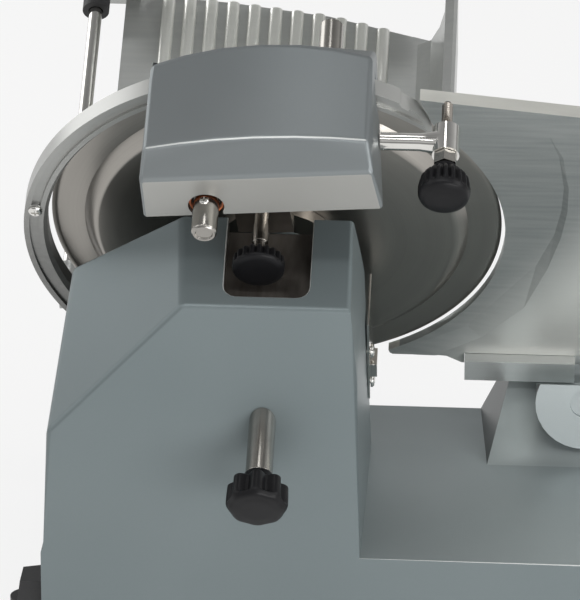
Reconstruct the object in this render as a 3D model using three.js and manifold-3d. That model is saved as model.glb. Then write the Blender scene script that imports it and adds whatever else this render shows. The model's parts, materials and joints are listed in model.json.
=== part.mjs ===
// Electric gravity-feed meat slicer with a 250 mm blade, seen in the photograph from its slice side.
// Millimetres, +Z up. X runs along the carriage travel, -Y is the slice side, +Y the feeding side.
// The blade leans back by `tilt`; everything that belongs to the blade is built in the blade frame,
// whose z runs out of the back of the blade, whose y runs up the blade and whose origin is its centre.
import * as THREE from 'three';
import { ConvexGeometry } from 'three/addons/geometries/ConvexGeometry.js';
import { mergeVertices } from 'three/addons/utils/BufferGeometryUtils.js';
import Module from 'manifold-3d';

const wasm = await Module();
wasm.setup();

// Driving dimensions
const tilt = THREE.MathUtils.degToRad(30);
const seat = 0.3;               // gap between pieces that touch

const foot = { radius: 15, toe: 12, height: 15, inset: 24, stud: 4, studTop: 22 };
const base = { left: -121, right: 285, rear: -120, front: 150, wallHeight: 60, wall: 4, corner: 8 };
const blade = {
  radius: 125, bore: 13, hub: 38, rim: 28, rimStep: 4, bevel: 20, edge: 4, front: 9, back: 14,
  screwCircle: 24, screw: 2.5, screwHead: 4.5,
};
const deck = { front: 87, bladeAbove: blade.radius + 24.5 };
const rail = { ledge: 24, cheek: 15, radius: 7.5, y: 119, belowDeck: 23 };
const slider = { middle: -28, half: 30, radius: 12, padTop: 74, roller: 6, rollerY: 134, rollerWide: 8,
  axle: 2 };
const controlBox = { width: 63 };
const bottomPlate = 1.5;

const ring = {
  inner: blade.radius + 1.5, outer: blade.radius + 14.4, front: 4.5, back: 15, low: -75, high: 60,
  lug: 6.3, lugAngles: [238, 257, 276], lugIn: 6.5, screwAngle: 171, screwHole: 2.3, screwBoss: 5,
};
const spindle = { radius: 10, flange: 34, flangeFront: 14.3, flangeBack: 22, end: 110, bore: 4.6 };
const bearing = { outer: 22.5, width: 11, front: 52, rear: 74 };
const bearingHousing = { radius: 30, flange: 40, flangeThick: 6, end: 87 };
const pulley = { radius: 35, motorRadius: 12, front: 90.5, back: 104.5, groove: 1.8, belt: 2.4 };
const motor = { x: -45, y: -92, radius: 44, front: 109, back: 157, shaft: 5 };
const frontCover = { radius: blade.radius - 34, edge: 4.6, crown: 1.5, thick: 2.6, boss: 8, bossEnd: 8.5 };
const tieRod = {
  radius: 4, spacer: 7.25, spacerEnd: 174.2, hub: 8, knobStart: 181.5, knobEnd: 197.5, knob: 16.6,
  lobes: 8, lobeDepth: 3.4, cap: 4.5, capDepth: 1.2,
};

const housing = { topY: blade.radius - 68, face: 45 };
const recess = { left: -22, right: 24, near: 36, far: 98, depth: 13, corner: 7 };
const deflector = { x: 52.5, thick: 1.2, near: 24, far: 60, top: -16, bottom: -84, screws: [-47, -74],
  screwZ: 54 };

const sharpener = { x: -3.7, y: blade.radius - 63, turn: THREE.MathUtils.degToRad(5.6) };
const cover = {
  middle: 6.5, halfBottom: 64, halfBand: 62, halfTop: 59.5, halfFront: 57, bottom: 36, band: 66, edge: 74.8,
    crown: 80.6,
  back: 74, creaseBack: 59, farBack: 2, farMiddle: -5, front: -30, frontBottom: 42, wall: 2.6,
};
const post = { half: 15, thick: 7.5, low: -18, headLeft: -36, headRight: 50, headLow: 38.3, headHigh: 66 };
const lockKnob = { radius: 14.1, start: 75.3, end: 85.5, shank: 4.4, shankEnd: 66, screw: 3 };
const flutes = { count: 20, depth: 1.25, rim: 2.6, dimple: 1.6, dimpleDepth: 0.9 };
const grinder = {
  x: -22.8, y: 43.2, radius: 6.85, out: 93, in: 58, rod: 3, bush: 9.4, bushGap: 1.4, bushIn: 2.2,
    bushThick: 2.6,
  stone: 9.5, stoneX: -24.5, stoneY: 52.2, stoneFront: 16.5, thick: 8, armEnd: 30,
};
const truer = { x: 40.4, y: 56.3, radius: 6.3, out: -38, in: -12, stone: 6.4, stoneBack: -4.7, thick: 4.6,
  rod: 2.5 };
const stop = {
  x: 103.7, y: 46.1, barX: 69.1, barY: 49.4, bar: 4.8, barZ: 39, sleeve: 7.3, sleeveStart: 30, sleeveEnd: 48,
  screw: 2.9, tip: 11.7, nut: 6.6, nutEnd: 55, knob: 13.9, knobStart: 60, knobEnd: 79, flare: 14,
  flareEnd: 6.6,
};

const gauge = {
  thick: 8, gap: 2.1, right: 262, top: blade.radius - 9.6, topFall: 0.131, bottom: 17 - blade.radius,
  cornerX: blade.radius - 45, travel: 15, pocket: 3,
};
// The pocket beside the blade: degrees round the blade, widths to the foot and the end of its slope, share of its depth
const pocketPlaces = [[-76, 10, 24, 1], [-39, 10, 20.6, 1], [-25, 11, 25.6, 1], [-11, 20.4, 26.4, 0.9],
  [0, 27, 30.8, 0.75], [8, 32, 35.4, 0.6], [15, 37, 39.8, 0.4], [24, 43, 45.2, 0.15], [30, 46, 47, 0.03]];
const bracket = {
  left: 105.5, right: 168.5, low: gauge.bottom - 18, front: 4.7, back: 14, webLow: gauge.bottom - 12,
    webRight: 216,
};
const slideBar = {
  x: 205, y: gauge.bottom - 37, radius: 8, start: -6, end: 76, lug: 11, lugFront: -6, lugBack: 5, guide: 13,
    guideEnd: 60,
};
const drum = { x: 174.5, z: 111.2, radius: 28, rear: 15, hub: 8.5 };
const ridge = { height: gauge.bottom - 25.5, left: 137, right: 212, leftFoot: 115, rightFoot: 234, rear: 8 };
const follower = { radius: 3.4, at: 70, pin: 3, pinLength: 30 };
const index = { x: 253.5, shaft: 5, cam: 20, camThick: 5, camY: 22, turn: 300, knob: 25, knobLong: 22,
  neck: 11 };

const table = {
  left: -106, right: 95, height: -90, thick: 5, near: 5, ribs: 11, ribPitch: 13, ribFirst: -80, ribHigh: 2.6,
    border: 68,
  wallHigh: 60, wallThick: 7, cornerX: 17, cornerN: 18,
};
const tableEdge = [[95, 205.5], [66, 214], [17, 228], [-42, 237], [-106, 243]];
const arm = { middle: -28, half: 30, y: 117, thick: 9, pad: 6, padFrom: 52, padTo: 108 };
const grip = { x: -28, z: -196, radius: 12.5, neck: 6, length: 88 };
const pusherRod = { x: -121.5, y: -72, radius: 4, start: 6.4, end: 252, lugEnd: 18, farLug: 238.5,
  farLugEnd: 249, lug: 7 };
const pusher = {
  sleeve: 8, start: 212, end: 222, hubEnd: 238, plate: 238, thick: 5, top: 8, left: -93, right: 62,
  armLow: -63.5, armTop: -51,
};
const pushKnob = { radius: 16, x: -30, y: -38, length: 36 };
const switchPlate = { x: 253.5, y: 118, halfX: 24, halfY: 13, thick: 3, button: 8, high: 6, gap: 12 };
const gland = { y: -100, half: 11, out: -134, top: 51, bottom: 27, boot: 9, bootX: -131.5, bootBottom: 20 };

// Derived places
const bladeHeight = foot.height + base.wallHeight + deck.bladeAbove;
const baseBottom = foot.height;
const deckTop = foot.height + base.wallHeight;
const ledgeTop = baseBottom + rail.ledge;
const railZ = deckTop - rail.belowDeck;
const controlLeft = base.right - controlBox.width;
const followerY = -slideBar.y / 2 - follower.at * Math.cos(tilt);
const followerZ = bladeHeight + slideBar.y * Math.cos(tilt) - follower.at / 2;
const indexZ = followerZ - follower.pin - index.cam - seat;
const camRise = gauge.travel * Math.sin(tilt);

// Materials
const cast = () => new THREE.MeshStandardMaterial({ color: 0x8a9294, roughness: 0.42, metalness: 0.85 });
const steel = () => new THREE.MeshStandardMaterial({ color: 0xa7a5a0, roughness: 0.3, metalness: 1 });
const chrome = () => new THREE.MeshStandardMaterial({ color: 0xd8d8d6, roughness: 0.12, metalness: 1 });
const black = () => new THREE.MeshStandardMaterial({ color: 0x141515, roughness: 0.45, metalness: 0 });
const rubber = () => new THREE.MeshStandardMaterial({ color: 0x1b1b1b, roughness: 0.85, metalness: 0 });
const grit = () => new THREE.MeshStandardMaterial({ color: 0xb4552f, roughness: 0.95, metalness: 0 });
const greyMotor = () => new THREE.MeshStandardMaterial({ color: 0x55595c, roughness: 0.6, metalness: 0.4 });
const green = () => new THREE.MeshStandardMaterial({ color: 0x1f8a43, roughness: 0.4, metalness: 0 });
const red = () => new THREE.MeshStandardMaterial({ color: 0xb3261e, roughness: 0.4, metalness: 0 });

// Solids
function merged(geometry) {
  const bare = geometry.clone();
  for (const name of Object.keys(bare.attributes)) if (name !== 'position') bare.deleteAttribute(name);
  const joined = mergeVertices(bare, 1e-4);
  const corners = joined.index.array;
  const kept = [];
  for (let i = 0; i < corners.length; i += 3) {
    const [a, b, c] = [corners[i], corners[i + 1], corners[i + 2]];
    if (a !== b && b !== c && a !== c) kept.push(a, b, c);
  }
  joined.setIndex(kept);
  return joined;
}

function solid(geometry) {
  const joined = merged(geometry);
  return new wasm.Manifold(new wasm.Mesh({
    numProp: 3,
    vertProperties: Float32Array.from(joined.attributes.position.array),
    triVerts: Uint32Array.from(joined.index.array),
  }));
}

function unsolid(manifold) {
  const mesh = manifold.getMesh();
  const geometry = new THREE.BufferGeometry();
  geometry.setAttribute('position', new THREE.BufferAttribute(Float32Array.from(mesh.vertProperties), 3));
  geometry.setIndex(Array.from(mesh.triVerts));
  return geometry;
}

const unite = (first, ...rest) => unsolid(rest.reduce((all, next) => all.add(solid(next)), solid(first)));
const cut = (first, ...rest) => unsolid(rest.reduce((all, next) => all.subtract(solid(next)), solid(first)));
const common = (first, second) => unsolid(solid(first).intersect(solid(second)));

function block(x0, x1, y0, y1, z0, z1) {
  return new THREE.BoxGeometry(x1 - x0, y1 - y0, z1 - z0)
    .translate((x0 + x1) / 2, (y0 + y1) / 2, (z0 + z1) / 2);
}

// A cylinder or cone along z
function bar(radius, z0, z1, sides = 20, endRadius = radius) {
  return new THREE.CylinderGeometry(endRadius, radius, z1 - z0, sides).rotateX(Math.PI / 2)
    .translate(0, 0, (z0 + z1) / 2);
}

// A shape turned about z; the profile is [radius, z] pairs, listed either way round
function turned(profile, sides) {
  let area = 0;
  profile.forEach(([r, z], i) => {
    const [nextR, nextZ] = profile[(i + 1) % profile.length];
    area += r * nextZ - nextR * z;
  });
  const points = profile.map(([r, z]) => new THREE.Vector2(r, -z));
  if (area > 0) points.reverse();
  if (profile[0][0] > 0) points.push(points[0].clone());
  return new THREE.LatheGeometry(points, sides).rotateX(-Math.PI / 2);
}

// A flat outline pushed out along z
function plate(points, z0, z1) {
  const shape = new THREE.Shape(points.map(([x, y]) => new THREE.Vector2(x, y)));
  return new THREE.ExtrudeGeometry(shape, { depth: z1 - z0, bevelEnabled: false, steps: 1 })
    .translate(0, 0, z0);
}

// The same, but the outline is [y, z] and it runs along x
function alongX(points, x0, x1) {
  return plate(points, x0, x1).rotateX(Math.PI / 2).rotateZ(Math.PI / 2);
}

function roundedRect(x0, x1, y0, y1, radius, steps = 4) {
  const corners = [[x1 - radius, y1 - radius, 0], [x0 + radius, y1 - radius, 1],
    [x0 + radius, y0 + radius, 2],
    [x1 - radius, y0 + radius, 3]];
  return corners.flatMap(([cx, cy, quarter]) => Array.from({ length: steps + 1 }, (_, i) => {
    const angle = (quarter + i / steps) * Math.PI / 2;
    return [cx + radius * Math.cos(angle), cy + radius * Math.sin(angle)];
  }));
}

const arc = (radius, from, to, steps) => Array.from({ length: steps + 1 }, (_, i) => {
  const angle = THREE.MathUtils.degToRad(from + (to - from) * i / steps);
  return [radius * Math.cos(angle), radius * Math.sin(angle)];
});

const onCircle = (radius, angle) => arc(radius, angle, angle, 1)[0];

const hull = (points) => new ConvexGeometry(points.map((p) => new THREE.Vector3(...p)));

// A closed skin over cross-sections, whose corners run by the right-hand rule about the way the sections follow
function loft(sections) {
  const corners = [];
  const fan = (ring) => ring.slice(2)
    .forEach((corner, i) => corners.push(...ring[0], ...ring[i + 1], ...corner));
  sections.slice(1).forEach((ring, i) => ring.forEach((corner, j) => {
    const next = (j + 1) % ring.length;
    fan([sections[i][j], sections[i][next], ring[next], corner]);
  }));
  fan(sections[0].toReversed());
  fan(sections.at(-1));
  return new THREE.BufferGeometry().setAttribute('position', new THREE.Float32BufferAttribute(corners, 3));
}

// From the blade frame to the machine frame
const tiltMatrix = new THREE.Matrix4().makeRotationX(Math.PI / 2 + tilt).setPosition(0, 0, bladeHeight);
const toMachine = (x, y, z) => new THREE.Vector3(x, y, z).applyMatrix4(tiltMatrix).toArray();
const machined = (geometry) => geometry.applyMatrix4(tiltMatrix);

// How far behind the blade an upright plane lies at height y on the blade
const backAt = (planeY, y) => (-planeY - y * Math.sin(tilt)) / Math.cos(tilt);

function lobedOutline(radius, lobes, depth, steps = 4) {
  return Array.from({ length: lobes * steps }, (_, i) => {
    const angle = i / (lobes * steps) * 2 * Math.PI;
    const reach = radius - depth * (0.5 - 0.5 * Math.cos(angle * lobes));
    return [reach * Math.cos(angle), reach * Math.sin(angle)];
  });
}

// A fluted hand knob along z, with a plain rim, a neck that starts at `neckStart` and a dimple in its end
function flutedKnob(radius, z0, z1, neck, neckStart, bore, boreEnd) {
  const rim = z1 - flutes.rim;
  const fluted = common(plate(lobedOutline(radius, flutes.count, flutes.depth, 3), z0, rim + 0.1),
    turned([[0, z0], [radius * 0.82, z0], [radius, z0 + radius * 0.16], [radius, rim + 0.1], [0, rim + 0.1]],
      30));
  const cap = turned([[0, rim], [radius - 0.4, rim], [radius - 0.4, z1 - 1], [radius - 1.6, z1], [0, z1]],
    30);
  return cut(unite(fluted, cap, bar(neck, neckStart, z0 + 1, 20)), bar(bore, neckStart - 1, boreEnd, 12),
    bar(flutes.dimple, z1 - flutes.dimpleDepth, z1 + 1, 10));
}

// Housing and base: one casting, hollow from below
function upperBody(inset) {
  const low = deckTop - 20;
  const rear = base.rear + inset;
  const top = housing.topY - inset;
  const face = housing.face + inset;
  const lowFront = (-face + (bladeHeight - low) * Math.sin(tilt)) / Math.cos(tilt);
  return hull([
    [-44 + inset * 0.6, rear, bladeHeight - 3.7 - inset * 1.1],
    [46.5 - inset, rear, bladeHeight - 3.6 - inset * 1.1],
    toMachine(-48 + inset * 0.6, top, face), toMachine(45.5 - inset, top, face),
    toMachine(-109.3 + inset * 1.2, 9.5 - inset * 0.4, face), toMachine(51 - inset, 15, face),
    [-117 + inset, rear, bladeHeight - 80 - inset * 0.5], [50.5 - inset, rear, bladeHeight - 45],
    [base.left + 0.5 + inset, rear, low], [53.5 - inset, rear, low],
    [base.left + 0.5 + inset, lowFront, low], [53.5 - inset, lowFront, low],
  ]);
}

function baseBox(inset, bottom, top) {
  const { left, right, rear, corner } = base;
  const turn = arc(corner - inset, -90, 0, 3).map(([x, y]) => [right - corner + x, rear + corner + y]);
  return plate([[left + inset, rear + inset], ...turn, [right - inset, deck.front - inset],
    [left + inset, deck.front - inset]], bottom, top);
}

function pedestal(inset) {
  const low = deckTop - 3 - inset;
  const height = ridge.height - inset;
  const ridgeBack = backAt(deck.front - inset, height);
  const rear = ridge.rear + inset * 2;
  return hull([
    [ridge.leftFoot + inset, deck.front - inset, low], [ridge.leftFoot + 5 + inset, rear, low],
    [ridge.rightFoot - inset, deck.front - inset, low], [ridge.rightFoot - 5 - inset, rear, low],
    toMachine(ridge.left + inset, height, ridgeBack), toMachine(ridge.right - inset, height, ridgeBack),
    [ridge.leftFoot + inset, deck.front - inset, deckTop - inset],
    [ridge.leftFoot + 5 + inset, rear, deckTop - inset],
    [ridge.rightFoot - inset, deck.front - inset, deckTop - inset],
    [ridge.rightFoot - 5 - inset, rear, deckTop - inset],
  ]);
}

// The drum lies along Y on the pedestal and is trimmed where the gauge bracket passes above it
function drumBody() {
  const barrel = bar(drum.radius, 0, deck.front - drum.rear, 32).rotateX(-Math.PI / 2)
    .translate(drum.x, drum.rear, drum.z);
  const passage = machined(block(90, 250, bracket.low - 1.5, -60, -90, bracket.back + gauge.travel + 1.5));
  const above = alongX([[drum.rear - 5, 124.5], [90, 93.5], [90, 170], [drum.rear - 5, 170]], 100, 250);
  const hub = bar(drum.hub, 0, 3, 24).rotateX(-Math.PI / 2).translate(drum.x, drum.rear - 1, drum.z);
  return cut(barrel, passage, above, hub);
}

function baseHousing() {
  const w = base.wall;
  const { left, right, rear, front } = base;
  const lowBox = plate(roundedRect(left, right, rear, front, base.corner, 3), baseBottom, ledgeTop);
  const control = block(controlLeft, right, deck.front - 2, front, ledgeTop - 1, deckTop);
  const cheek = alongX([[deck.front - 2, ledgeTop - 1], [front, ledgeTop - 1], [front, deckTop - 30],
    [deck.front - 2, deckTop - 1]], left, left + rail.cheek);
  const outside = unite(lowBox, baseBox(0, ledgeTop - 1, deckTop), control, cheek, upperBody(0), pedestal(0),
    drumBody());

  const lowRoom = plate(roundedRect(left + w, right - w, rear + w, front - w, base.corner - w, 3),
    baseBottom - 1, ledgeTop - w);
  const controlRoom = block(controlLeft + w, right - w, deck.front - w - 1, front - w, ledgeTop - w - 1,
    deckTop - w);
  const inside = unite(lowRoom, baseBox(w, ledgeTop - w - 1, deckTop - w), controlRoom, upperBody(w),
    pedestal(w));
  const motorBoss = machined(bar(20, motor.back + seat, motor.back + 60, 20).translate(motor.x, motor.y, 0));
  const motorPad = common(motorBoss, block(left, right, rear + w / 2, 0, baseBottom + 10, bladeHeight));
  const recessFloor = housing.topY - recess.depth;
  const recessShape = (wall) => roundedRect(recess.left - wall, recess.right + wall, -recess.far - wall, -recess.near,
    recess.corner, 4);
  const recessWell = machined(plate(recessShape(w), recessFloor - w, housing.topY - w / 2).rotateX(-Math.PI / 2));
  const guide = machined(bar(slideBar.guide, slideBar.lugBack, slideBar.guideEnd, 24)
    .translate(slideBar.x, slideBar.y, 0));
  const cupboard = machined(block(188, 222, -162, -120, -12, 26));
  const kept = cut(inside, motorPad, common(recessWell, upperBody(w / 2)),
    common(unite(guide, cupboard), pedestal(w / 2)));
  const shell = cut(outside, kept);

  const well = machined(plate(recessShape(0), recessFloor, housing.topY + 5).rotateX(-Math.PI / 2));
  const spindleHole = machined(bar(bearingHousing.radius + seat, housing.face - 3, housing.face + w + 3, 32));
  const rodHole = machined(bar(tieRod.radius + seat, 120, 150, 16));
  const lugPocket = machined(block(slideBar.x - slideBar.lug - 1, slideBar.x + slideBar.lug + 1,
    slideBar.y - slideBar.lug - 1.5,
    -60, slideBar.lugFront - 1.5, slideBar.lugBack + gauge.travel + 1));
  const slideHole = machined(bar(slideBar.radius + seat, slideBar.lugBack, slideBar.end + gauge.travel + 3,
    28)
    .translate(slideBar.x, slideBar.y, 0));
  const frontRelief = machined(bar(slideBar.radius + 1, -22, slideBar.lugBack, 20)
    .translate(slideBar.x, slideBar.y, 0));
  const railHole = (from, to) => bar(rail.radius + seat, from, to, 20).rotateY(Math.PI / 2)
    .translate(0, rail.y, railZ);
  const indexHole = bar(index.shaft + seat, -w - 5, 5, 16).rotateX(-Math.PI / 2)
    .translate(index.x, front, indexZ);
  const screwHoles = deflector.screws.map((y) => sideBar(2.1, 40, 60, y, deflector.screwZ));
  const buttonHoles = [-1, 1].map((side) => bar(switchPlate.button / 2 + 0.5, deckTop - 10, deckTop + 5, 16)
    .translate(switchPlate.x + side * switchPlate.gap, switchPlate.y, 0));
  return cut(shell, well, spindleHole, rodHole, lugPocket, slideHole, frontRelief,
    railHole(left + 5, left + rail.cheek + 5), railHole(controlLeft - 5, controlLeft + w + 5), indexHole,
    ...screwHoles, ...buttonHoles);
}

// A bar along x, placed by its y and z in the blade frame
function sideBar(radius, x0, x1, y, z, sides = 14) {
  return machined(bar(radius, x0, x1, sides).rotateY(Math.PI / 2).translate(0, y, z));
}

function bottomCover() {
  const edge = base.wall + seat;
  const sheet = plate(roundedRect(base.left + edge, base.right - edge, base.rear + edge, base.front - edge, 4,
    3),
    baseBottom, baseBottom + bottomPlate);
  return cut(sheet, ...footPlaces.map(([x, y]) => bar(foot.stud + seat, 0, 40, 14).translate(x, y, 0)));
}

const footPlaces = [[base.left + foot.inset, base.rear + foot.inset],
  [base.right - foot.inset, base.rear + foot.inset],
  [base.left + foot.inset, base.front - foot.inset], [base.right - foot.inset, base.front - foot.inset]];

const rubberFoot = ([x, y]) =>
  turned([[0, 0], [foot.toe, 0], [foot.toe + 1, 1.5], [foot.radius, foot.height - 1.2],
  [foot.radius, foot.height - seat], [foot.stud, foot.height - seat], [foot.stud, foot.studTop],
  [0, foot.studTop]], 14)
  .translate(x, y, 0);

// Drive, in the blade frame
const motorBody = () => {
  const can = turned([[7, motor.front], [motor.radius - 4, motor.front], [motor.radius, motor.front + 4],
    [motor.radius, motor.back - 4], [motor.radius - 4, motor.back], [0, motor.back], [0, motor.front + 24],
    [7, motor.front + 24]], 20);
  return can.translate(motor.x, motor.y, 0);
};

const pulleyBody = (radius, bore) =>
  turned([[bore, pulley.front], [radius, pulley.front], [radius, pulley.front + 1.6],
  [radius - pulley.groove, pulley.front + 1.6], [radius - pulley.groove, pulley.back - 1.6],
  [radius, pulley.back - 1.6],
  [radius, pulley.back], [bore, pulley.back]], 22);

const motorPulley = () =>
  unite(pulleyBody(pulley.motorRadius, 0), bar(motor.shaft, pulley.back - 1, motor.front + 22, 16))
  .translate(motor.x, motor.y, 0);

function loop(bigRadius, smallRadius) {
  const distance = Math.hypot(motor.x, motor.y);
  const lean = Math.atan2(motor.y, motor.x);
  const wrap = Math.acos((bigRadius - smallRadius) / distance);
  const around = (radius, from, to, steps, x, y) => Array.from({ length: steps + 1 }, (_, i) => {
    const angle = from + (to - from) * i / steps;
    return [x + radius * Math.cos(angle), y + radius * Math.sin(angle)];
  });
  return [...around(bigRadius, lean + wrap, lean + 2 * Math.PI - wrap, 24, 0, 0),
    ...around(smallRadius, lean - wrap, lean + wrap, 12, motor.x, motor.y)];
}

function driveBelt() {
  const [big, small] = [pulley.radius - pulley.groove + 0.5, pulley.motorRadius - pulley.groove + 0.5];
  const [from, to] = [pulley.front + 3, pulley.back - 3];
  return cut(plate(loop(big + pulley.belt, small + pulley.belt), from, to),
    plate(loop(big, small), from - 1, to + 1));
}

const bearingBore = bearing.outer + seat;
const spindleHousing = () => turned([[spindle.radius + 2, housing.face - seat - bearingHousing.flangeThick],
  [bearingHousing.flange, housing.face - seat - bearingHousing.flangeThick],
  [bearingHousing.flange, housing.face - seat],
  [bearingHousing.radius, housing.face - seat], [bearingHousing.radius, bearingHousing.end],
  [bearingBore, bearingHousing.end],
  [bearingBore, bearing.front - 2], [spindle.radius + 2, bearing.front - 2]], 20);

const ballBearing = (from) =>
  turned([[spindle.radius + seat, from], [bearing.outer, from], [bearing.outer, from + bearing.width],
  [spindle.radius + seat, from + bearing.width]], 18);

const screwPlaces = [90, 210, 330].map((angle) => onCircle(blade.screwCircle, angle));
const bladeScrewHoles = () =>
  screwPlaces.map(([x, y]) => bar(blade.screw + seat, 0, 20.5, 10).translate(x, y, 0));

const spindleBody = () =>
  cut(turned([[spindle.bore, blade.front + 0.5], [blade.bore - seat, blade.front + 0.5],
  [blade.bore - seat, spindle.flangeFront],
  [spindle.flange, spindle.flangeFront], [spindle.flange, spindle.flangeBack], [16, spindle.flangeBack + 8],
  [spindle.radius, spindle.flangeBack + 9], [spindle.radius, spindle.end], [spindle.bore, spindle.end]], 20),
  ...bladeScrewHoles());

// The blade is dished: a thick hub, a rim that steps forward, and a bevel ground from behind
function bladeDisc() {
  const { radius, bore, hub, rim, rimStep, bevel, edge, front, back } = blade;
  const ridge = radius - rim;
  return cut(turned([[bore, front], [ridge, front - 2.2], [ridge + rimStep, front - 3.5],
    [radius - bevel, 1.4], [radius, 0],
    [radius - edge, 2.2], [radius - bevel + 1.5, 3.2], [ridge + rimStep + 0.5, front - 0.5],
    [ridge + 1, front + 0.8],
    [hub, back], [bore, back]], 64), ...bladeScrewHoles());
}

const bladeScrew = ([x, y]) =>
  cut(turned([[0, 5.7], [blade.screwHead - 1, 5.7], [blade.screwHead, 6.6], [blade.screwHead, 8.3],
  [blade.screw, 8.3], [blade.screw, 20], [0, 20]], 10), block(-3, 3, -0.6, 0.6, 5, 6.5)).translate(x, y, 0);

const bladeCover = () => {
  const { radius, edge, crown, thick, boss, bossEnd } = frontCover;
  return turned([[0, crown], [60, crown + 1], [radius, edge], [radius, edge + 1], [60, crown + 1 + thick],
    [boss, crown + 0.2 + thick], [boss, bossEnd], [tieRod.radius + seat, bossEnd],
    [tieRod.radius + seat, crown + thick - 0.6],
    [0, crown + thick - 0.6]], 36);
};

// The ring guard stops at the right, where the gauge plate takes over; its upper end narrows to a tongue
function ringGuard() {
  const { inner, outer, front, back, low, high, lug, lugAngles, lugIn, screwAngle, screwHole,
    screwBoss } = ring;
  const profile = [[outer, front], [outer, back], [outer - 3.1, back], [outer - 3.1, back - 1.6],
    [outer - 8.2, back - 1.6],
    [outer - 8.2, back], [inner + 2, back], [inner, back - 2.5], [inner, front]];
  const far = arc(outer + 33, high - 360, low, 10);
  const tongue = [[-1.2, 60], [-2.4, 59], [-3.8, 54.6], [-9.4, 49.8], [-13.4, 46.4], [-39.4, 46.4]]
    .map(([inward, angle]) => onCircle(outer + inward, angle));
  const sector = plate([...far, [0, 0], ...tongue.reverse()], 0, 30);
  const lugs = lugAngles.map((angle) => bar(lug, back - 2, housing.face - seat, 14)
    .translate(...onCircle(inner + lugIn, angle), 0));
  const screwPlace = onCircle(inner + lugIn + 0.5, screwAngle);
  const boss = bar(screwBoss, back - 3, back, 18).translate(...screwPlace, 0);
  return cut(unite(common(turned(profile, 64), sector), ...lugs, boss), bar(screwHole, 7, back + 1, 12)
    .translate(...screwPlace, 0));
}

const rodSpacer = () => common(machined(turned([[tieRod.radius + seat, 125], [tieRod.spacer, 125],
  [tieRod.spacer, tieRod.spacerEnd], [tieRod.radius + seat, tieRod.spacerEnd]], 28)),
  block(-20, 20, -300, base.rear - seat, 0, 300));

// A knob head with deep round lobes and a shallow-lobed cap at its end
function lobedKnob() {
  const { hub, knobStart, knobEnd, knob, spacerEnd, radius, lobes, lobeDepth, cap, capDepth } = tieRod;
  const head = unite(plate(lobedOutline(knob, lobes, lobeDepth, 5), knobStart, knobEnd - cap + 0.1),
    plate(lobedOutline(knob, lobes, capDepth, 5), knobEnd - cap, knobEnd));
  const round = common(head, turned([[0, knobStart], [knob - 2.5, knobStart], [knob + 0.1, knobStart + 2.5],
    [knob + 0.1, knobEnd - 3], [knob - 3, knobEnd], [0, knobEnd]], 32));
  return cut(unite(round, bar(hub, spacerEnd + seat, knobStart + 1, 24)),
    bar(radius + seat, spacerEnd - 1, knobEnd - 3.5, 16));
}

const deflectorSheet = () => {
  const { x, thick, near, far, top, bottom, screws, screwZ } = deflector;
  const sheet = machined(block(x, x + thick, bottom, top, near, far));
  const tab = machined(block(x + thick - 0.2, x + thick + 4, bottom + 18, bottom + 29, far - 14, far - 2));
  return cut(unite(sheet, tab), ...screws.map((y) => sideBar(2.1, x - 5, x + 10, y, screwZ)));
};

const deflectorScrew = (y) => unite(sideBar(1.8, 46, deflector.x + deflector.thick + 1, y, deflector.screwZ),
  sideBar(4.2, deflector.x + deflector.thick + seat, deflector.x + deflector.thick + 2.6, y, deflector.screwZ,
    18));

// Control box
const switchHousing = () => cut(
  plate(roundedRect(-switchPlate.halfX, switchPlate.halfX, -switchPlate.halfY, switchPlate.halfY, 4),
    deckTop + seat,
    deckTop + switchPlate.thick).translate(switchPlate.x, switchPlate.y, 0),
  ...[-1, 1].map((side) => bar(switchPlate.button + 0.6, 0, 200, 28)
  .translate(switchPlate.x + side * switchPlate.gap, switchPlate.y, 0)),
);

const pushButton = (side) =>
  turned([[0, deckTop - 8], [switchPlate.button / 2, deckTop - 8], [switchPlate.button / 2, deckTop + 3.2],
  [switchPlate.button, deckTop + 3.2], [switchPlate.button, deckTop + switchPlate.high],
  [switchPlate.button - 1, deckTop + switchPlate.high + 1],
  [0, deckTop + switchPlate.high + 1]], 24)
  .translate(switchPlate.x + side * switchPlate.gap, switchPlate.y, 0);

const cableGland = () => {
  const { y, half, out, top, bottom, boot, bootX, bootBottom } = gland;
  const body = hull([[base.left - seat, y - half, top], [base.left - seat, y + half, top],
    [out, y - half + 2, top - 1],
    [out, y + half - 2, top - 1], [out - 2, y - half + 2, bottom + 8], [out - 2, y + half - 2, bottom + 8],
    [base.left - seat, y - half, bottom], [base.left - seat, y + half, bottom],
    [out + 3, y - half + 2, bottom], [out + 3, y + half - 2, bottom]]);
  return unite(body, turned([[0, bootBottom], [6, bootBottom], [boot, bootBottom + 10], [boot, top - 14],
    [0, top - 14]], 20)
    .translate(bootX, y, 0));
};

// Sharpener, in its own frame: turned a little on the lock stud
const place = (geometry) => machined(geometry.rotateZ(sharpener.turn).translate(sharpener.x, sharpener.y, 0));

function coverHull(inset, drop) {
  const c = cover;
  const points = [];
  for (let i = -3; i <= 3; i += 1) {
    const t = i / 3;
    const rise = c.edge + (c.crown - c.edge) * (1 - t * t) - inset;
    const far = c.farBack + (c.farMiddle - c.farBack) * (1 - t * t) + inset;
    const x = c.middle + t * (c.halfTop - inset);
    points.push([x, rise, c.creaseBack - inset * 0.5], [x, rise, far]);
  }
  for (const side of [-1, 1]) {
    points.push([c.middle + side * (c.halfBand - inset), c.band - inset * 0.3, c.back - inset]);
    points.push([c.middle + side * (c.halfBottom - inset), c.bottom - drop, c.back - inset]);
    points.push([c.middle + side * (c.halfFront - inset), c.frontBottom - drop, c.front + inset]);
  }
  return hull(points);
}

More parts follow.
